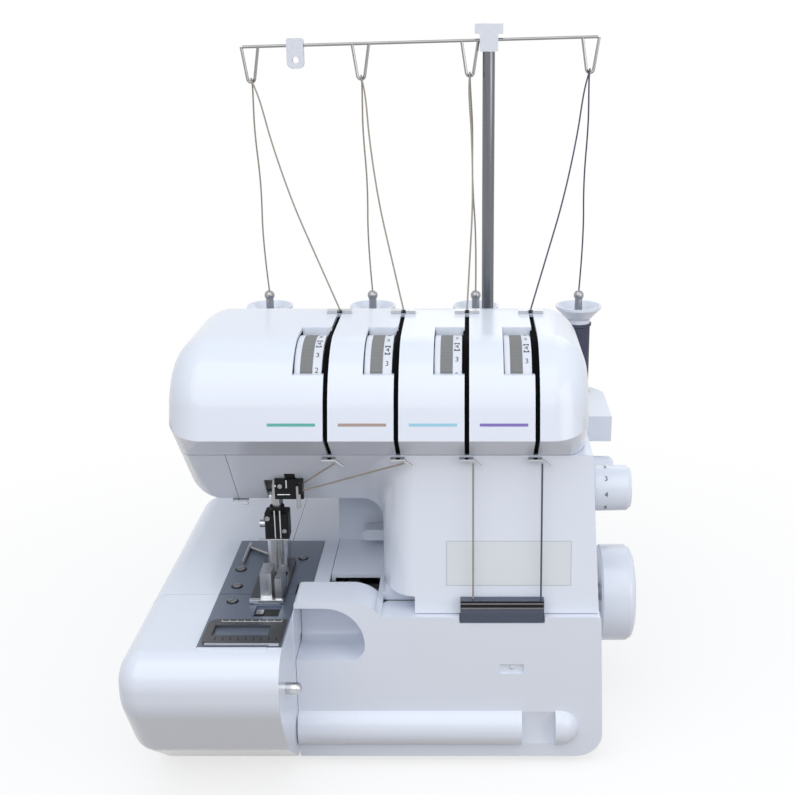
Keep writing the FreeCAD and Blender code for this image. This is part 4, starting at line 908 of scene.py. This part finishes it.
def half_disc(bm, radius, gap, low, high, side):
    """Half a disc that stops short of the middle by a gap."""
    first = math.asin(gap / radius)
    ring = []
    for k in range(arc_steps + 1):
        turn = first + (math.pi - 2 * first) * k / arc_steps
        ring.append(bm.verts.new((radius * math.cos(turn), side * radius * math.sin(turn), low)))
    push(bm, [bm.faces.new(ring)], (0.0, 0.0, high - low))


def disc(bm, foot_radius, top_radius, low, thick):
    """A low disc on the Z axis."""
    made = bmesh.ops.create_cone(bm, cap_ends=True, segments=40, radius1=foot_radius * mm,
                                 radius2=top_radius * mm, depth=thick * mm)["verts"]
    bmesh.ops.translate(bm, verts=made, vec=(0.0, 0.0, (low + thick / 2) * mm))


def slotted_screw(name, place, radius, turn, body, tilt):
    """A slotted head on a ring of painted shadow, turned about its axis and tilted about X."""
    bm = bmesh.new()
    disc(bm, shadow_ring_foot * radius, shadow_ring_top * radius, 0.0, shadow_ring_thick)
    # The ring takes the black finish: painted shadow round the head.
    for face in bm.faces:
        face.material_index = 1
    disc(bm, radius, radius, shadow_ring_thick, head_thick)
    slot_floor = shadow_ring_thick + head_thick
    for side in (-1, 1):
        half_disc(bm, radius * mm, driver_half * radius * mm, slot_floor * mm, screw_tall * mm,
                  side)
    for degrees, axis in ((turn, "Z"), (tilt, "X")):
        bmesh.ops.rotate(bm, verts=bm.verts, cent=(0, 0, 0),
                         matrix=Matrix.Rotation(math.radians(degrees), 3, axis))
    bmesh.ops.translate(bm, verts=bm.verts, vec=[c * mm for c in place])
    piece_from(bm, name, body, steel, black)


screws = [
    ("plate_screw_1", (-110.0, -26.0, plate_top), 2.9, 25.0, "machine", level),
    ("plate_screw_2", (-108.0, -52.0, plate_top), 2.9, 10.0, "machine", level),
    ("plate_screw_3", (-107.0, -74.0, plate_top), 2.9, 50.0, "nose_cover", level),
    ("plate_screw_4", (-69.0, -8.0, plate_top), 2.6, 35.0, "machine", level),
    ("guide_screw", (-75.4, -53.0, 186.8), 1.5, 40.0, "machine", to_front),
    ("clamp_screw_1", (-85.8, -48.0, 161.5), 1.7, 15.0, "needle_drive", to_front),
    ("clamp_screw_2", (-74.6, -48.0, 152.5), 1.5, 70.0, "needle_drive", to_front),
    ("rear_screw_1", (-34.0, rear_wall, 30.0), 3.4, 20.0, "machine", to_rear),
    ("rear_screw_2", (125.0, rear_wall, 30.0), 3.4, 55.0, "machine", to_rear),
    ("rear_screw_3", (-34.0, rear_wall, 158.0), 3.4, 90.0, "machine", to_rear),
    ("rear_screw_4", (125.0, rear_wall, 158.0), 3.4, 125.0, "machine", to_rear),
]
for row in screws:
    slotted_screw(*row)
print(len(screws), "screws")

# %% [markdown]
# ## The seam guide's scale
# The dark frame on the nose guides the cloth's edge. It has a bright front edge, a pale line with
# ticks behind its window and dark ticks before it. Paint has hardly any height, so each mark is a
# very low block that sinks into the frame's top.

# %% Mark the seam guide
guide_body = body_of_node["seam_guide"]
guide_top = max(v.co.z for v in skins["seam_guide"].data.vertices) / mm
mark_foot, mark_top = guide_top - 0.1, guide_top + 0.04
mark_soften = 0.02
scale_left, scale_step, scale_ticks = -108.0, 4.75, 9
pale_ink = finish("pale_scale_ink", moulded, (0.78, 0.77, 0.70), (0.70, 0.69, 0.63), 0.02)
block("guide_bright_edge", (-113.5, -133.5, guide_top - 1.9), (-67.5, -132.8, guide_top + 0.1),
      guide_body, chrome)
block("guide_scale_line", (scale_left, -105.6, mark_foot), (-70.0, -105.1, mark_top), guide_body,
      pale_ink, mark_soften)
for k in range(scale_ticks):
    x = scale_left + scale_step * k
    block("guide_scale_tick_%d" % k, (x, -105.3, mark_foot), (x + 0.4, -103.2, mark_top),
          guide_body, pale_ink, mark_soften)
    block("guide_front_tick_%d" % k, (x, -129.5, mark_foot), (x + 0.5, -125.5, guide_top + 0.03),
          guide_body, black, mark_soften)
print("scale at", round(guide_top, 2), "mm")

# %% [markdown]
# ## Small metal and edges
# Round the needles sit wires, pins and lips of bright plate, and the nose and the bed have thin
# edges where they meet. Each is a softened block between two corners, so a table of corners, body
# and finish says all there is to say.

# %% Fit the small metal
seam_line = finish("seam_shadow", moulded, (0.10, 0.10, 0.12), (0.14, 0.14, 0.16), 0.02)
fittings = [
    ("nose_lip", (-118.0, -138.8, 109.0), (-74.0, -134.6, 113.9), "nose_cover", white, 1.0),
    ("nose_edge_strip", (-65.6, -92.0, 14.0), (-64.72, -64.2, 112.6), "nose_cover", white, 0.1),
    ("bed_edge_strip", (-66.2, -63.4, 82.0), (-64.72, -55.5, 111.2), "machine", white, 0.1),
    ("underside_clip", (-111.0, -36.5, 168.7), (-100.0, -29.0, 169.8), "machine", chrome, 0.3),
    ("underside_hook", (-104.0, -36.5, 166.6), (-100.0, -35.4, 169.0), "machine", chrome, 0.3),
    # A black sheet in the feed opening: painted shade for the hole under the plate.
    ("feed_gate_painted_shade", (-89.8, -93.8, 111.4), (-74.2, -82.2, 111.75), "nose_cover", black, 0.05),
    ("feed_gate_block", (-89.0, -90.5, 111.6), (-84.2, -84.5, 112.9), "nose_cover", steel, 0.4),
    ("foot_front_bar", (-95.2, -78.3, 114.0), (-72.8, -75.0, 116.4), "presser", satin, 0.5),
    ("guide_stem_edge", (-71.6, -53.7, 185.4), (-70.6, -52.8, 191.2), "machine", chrome, 0.25),
    ("guide_wire", (-77.4, -53.9, 180.6), (-68.6, -52.8, 181.4), "machine", chrome, 0.4),
    ("guide_pin", (-79.4, -54.6, 186.4), (-77.6, -52.8, 188.2), "machine", chrome, 0.6),
    ("guide_tongue", (-64.8, -54.1, 171.0), (-61.8, -53.0, 187.0), "machine", steel, 0.4),
    ("clamp_wire_1", (-81.3, -48.9, 147.0), (-80.3, -47.9, 167.4), "needle_drive", chrome, 0.4),
    ("clamp_wire_2", (-77.7, -48.9, 147.0), (-76.7, -47.9, 167.4), "needle_drive", chrome, 0.4),
    ("clamp_lip", (-92.2, -48.5, 145.7), (-71.8, -47.4, 146.6), "needle_drive", chrome, 0.3),
    ("bed_seam", (-80.6, 22.6, 112.9), (-80.2, 105.0, 113.03), "machine", seam_line, 0.02),
]
for row in fittings:
    block(*row)
print(len(fittings), "small fittings")

# %% [markdown]
# ## Marks on the casing
# Flat marks follow the casing they lie on: a ray from the front finds the surface behind each
# corner. The label plate is plain, and a colour bar under each dial tells the four threads apart.
# The smoked window has a dark band across its upper half, with two lighter ribs on it.

# %% Mark the casing
mark_sink = 0.1


def surface_y(name, x, z):
    """Where a ray from the front meets a skin, in metres."""
    hit, place, _, _ = skins[name].ray_cast(Vector((x, -1.0, z)), Vector((0.0, 1.0, 0.0)))
    assert hit, (name, x, z)
    return place.y


def stuck_bar(name, x_span, z_span, onto, material, proud):
    """A thin plate that lies on a skin, between spans in X and Z."""
    bm = bmesh.new()
    made = bmesh.ops.create_cube(bm, size=1.0)["verts"]
    wide, tall = [(span[1] - span[0]) * mm for span in (x_span, z_span)]
    middle_x, middle_z = [sum(span) / 2 * mm for span in (x_span, z_span)]
    bmesh.ops.scale(bm, verts=made, vec=(wide, 1.0, tall))
    bmesh.ops.translate(bm, verts=made, vec=(middle_x, 0.0, middle_z))
    for vert in made:
        out_by = proud * mm if vert.co.y < 0 else -mark_sink * mm
        vert.co.y = surface_y(onto, vert.co.x, vert.co.z) - out_by
    piece_from(bm, name, body_of_node[onto], material)


bpy.context.view_layer.update()
border = finish("label_border", moulded, (0.40, 0.42, 0.43), (0.36, 0.38, 0.39), 0.02)
label_x, label_z, border_wide = (34.6, 115.8), (128.5, 158.0), 0.3
stuck_bar("label_border", label_x, label_z, "front_casing", border, proud=0.15)
stuck_bar("label_plate", (label_x[0] + border_wide, label_x[1] - border_wide),
          (label_z[0] + border_wide, label_z[1] - border_wide), "front_casing", bare_label,
          proud=0.25)
bar_z, bar_left, bar_right = (239.9, 241.7), 36.0, 6.0
darker = 0.92
bar_colours = [
    ("teal", (0.10, 0.42, 0.38)),
    ("brown", (0.40, 0.30, 0.27)),
    ("sky", (0.33, 0.60, 0.76)),
    ("purple", (0.22, 0.15, 0.48)),
]
for slot, (word, colour) in zip(slot_places, bar_colours):
    ink = finish("mark_" + word, moulded, colour, tuple(darker * c for c in colour), 0.02)
    stuck_bar("colour_bar_" + word, (slot / mm - bar_left, slot / mm - bar_right), bar_z,
              "head_cover", ink, proud=0.08)
window_x, band_z = (44.1, 97.6), (115.9, 121.2)
rib_feet, rib_tall = (119.2, 116.0), 0.9
rib_light = finish("window_rib", moulded, (0.20, 0.20, 0.21), (0.16, 0.16, 0.17), 0.05, coat=0.4)
stuck_bar("window_band", window_x, band_z, "thread_window", black, proud=0.2)
for k, z in enumerate(rib_feet):
    stuck_bar("window_rib_%d" % k, window_x, (z, z + rib_tall), "thread_window", rib_light,
              proud=0.4)
print("label, colour bars and window marked")

# %% [markdown]
# ## The cover's catch and the side dial
# A small ball in a slot marks the front cover's catch, and the stitch length dial on the right
# side carries the numbers one to five round its rim. A sphere and the same bent figures as on the
# tension dials make them.

# %% Mark the catch and the side dial
catch_x, catch_z, slot_floor_z = 0.0775, 0.0722, 0.0715
catch_radius, catch_sink = 0.0015, 0.0002
catch_y = surface_y("front_cover", catch_x, slot_floor_z) + catch_sink
bm = bmesh.new()
bmesh.ops.create_uvsphere(bm, u_segments=24, v_segments=12, radius=catch_radius)
bmesh.ops.translate(bm, verts=bm.verts, vec=(catch_x, catch_y, catch_z))
piece_from(bm, "catch_ball", body_of_node["front_cover"], white_matt)
length_axis = Vector((0.0, -0.019, 0.172))
length_radius, length_number_x, length_number_size = 0.016, 0.1424, 0.0050
length_four, length_step = math.radians(4.0), math.radians(40.0)
for number in range(1, 6):
    angle = length_four + length_step * (4 - number)
    bent_piece("length_number_%d" % number, flat_number(number, length_number_size),
               length_number_x, angle, length_radius, length_axis,
               body_of_node["stitch_length_dial"])
print("catch at", round(catch_y, 4), "m, and the side dial is numbered")
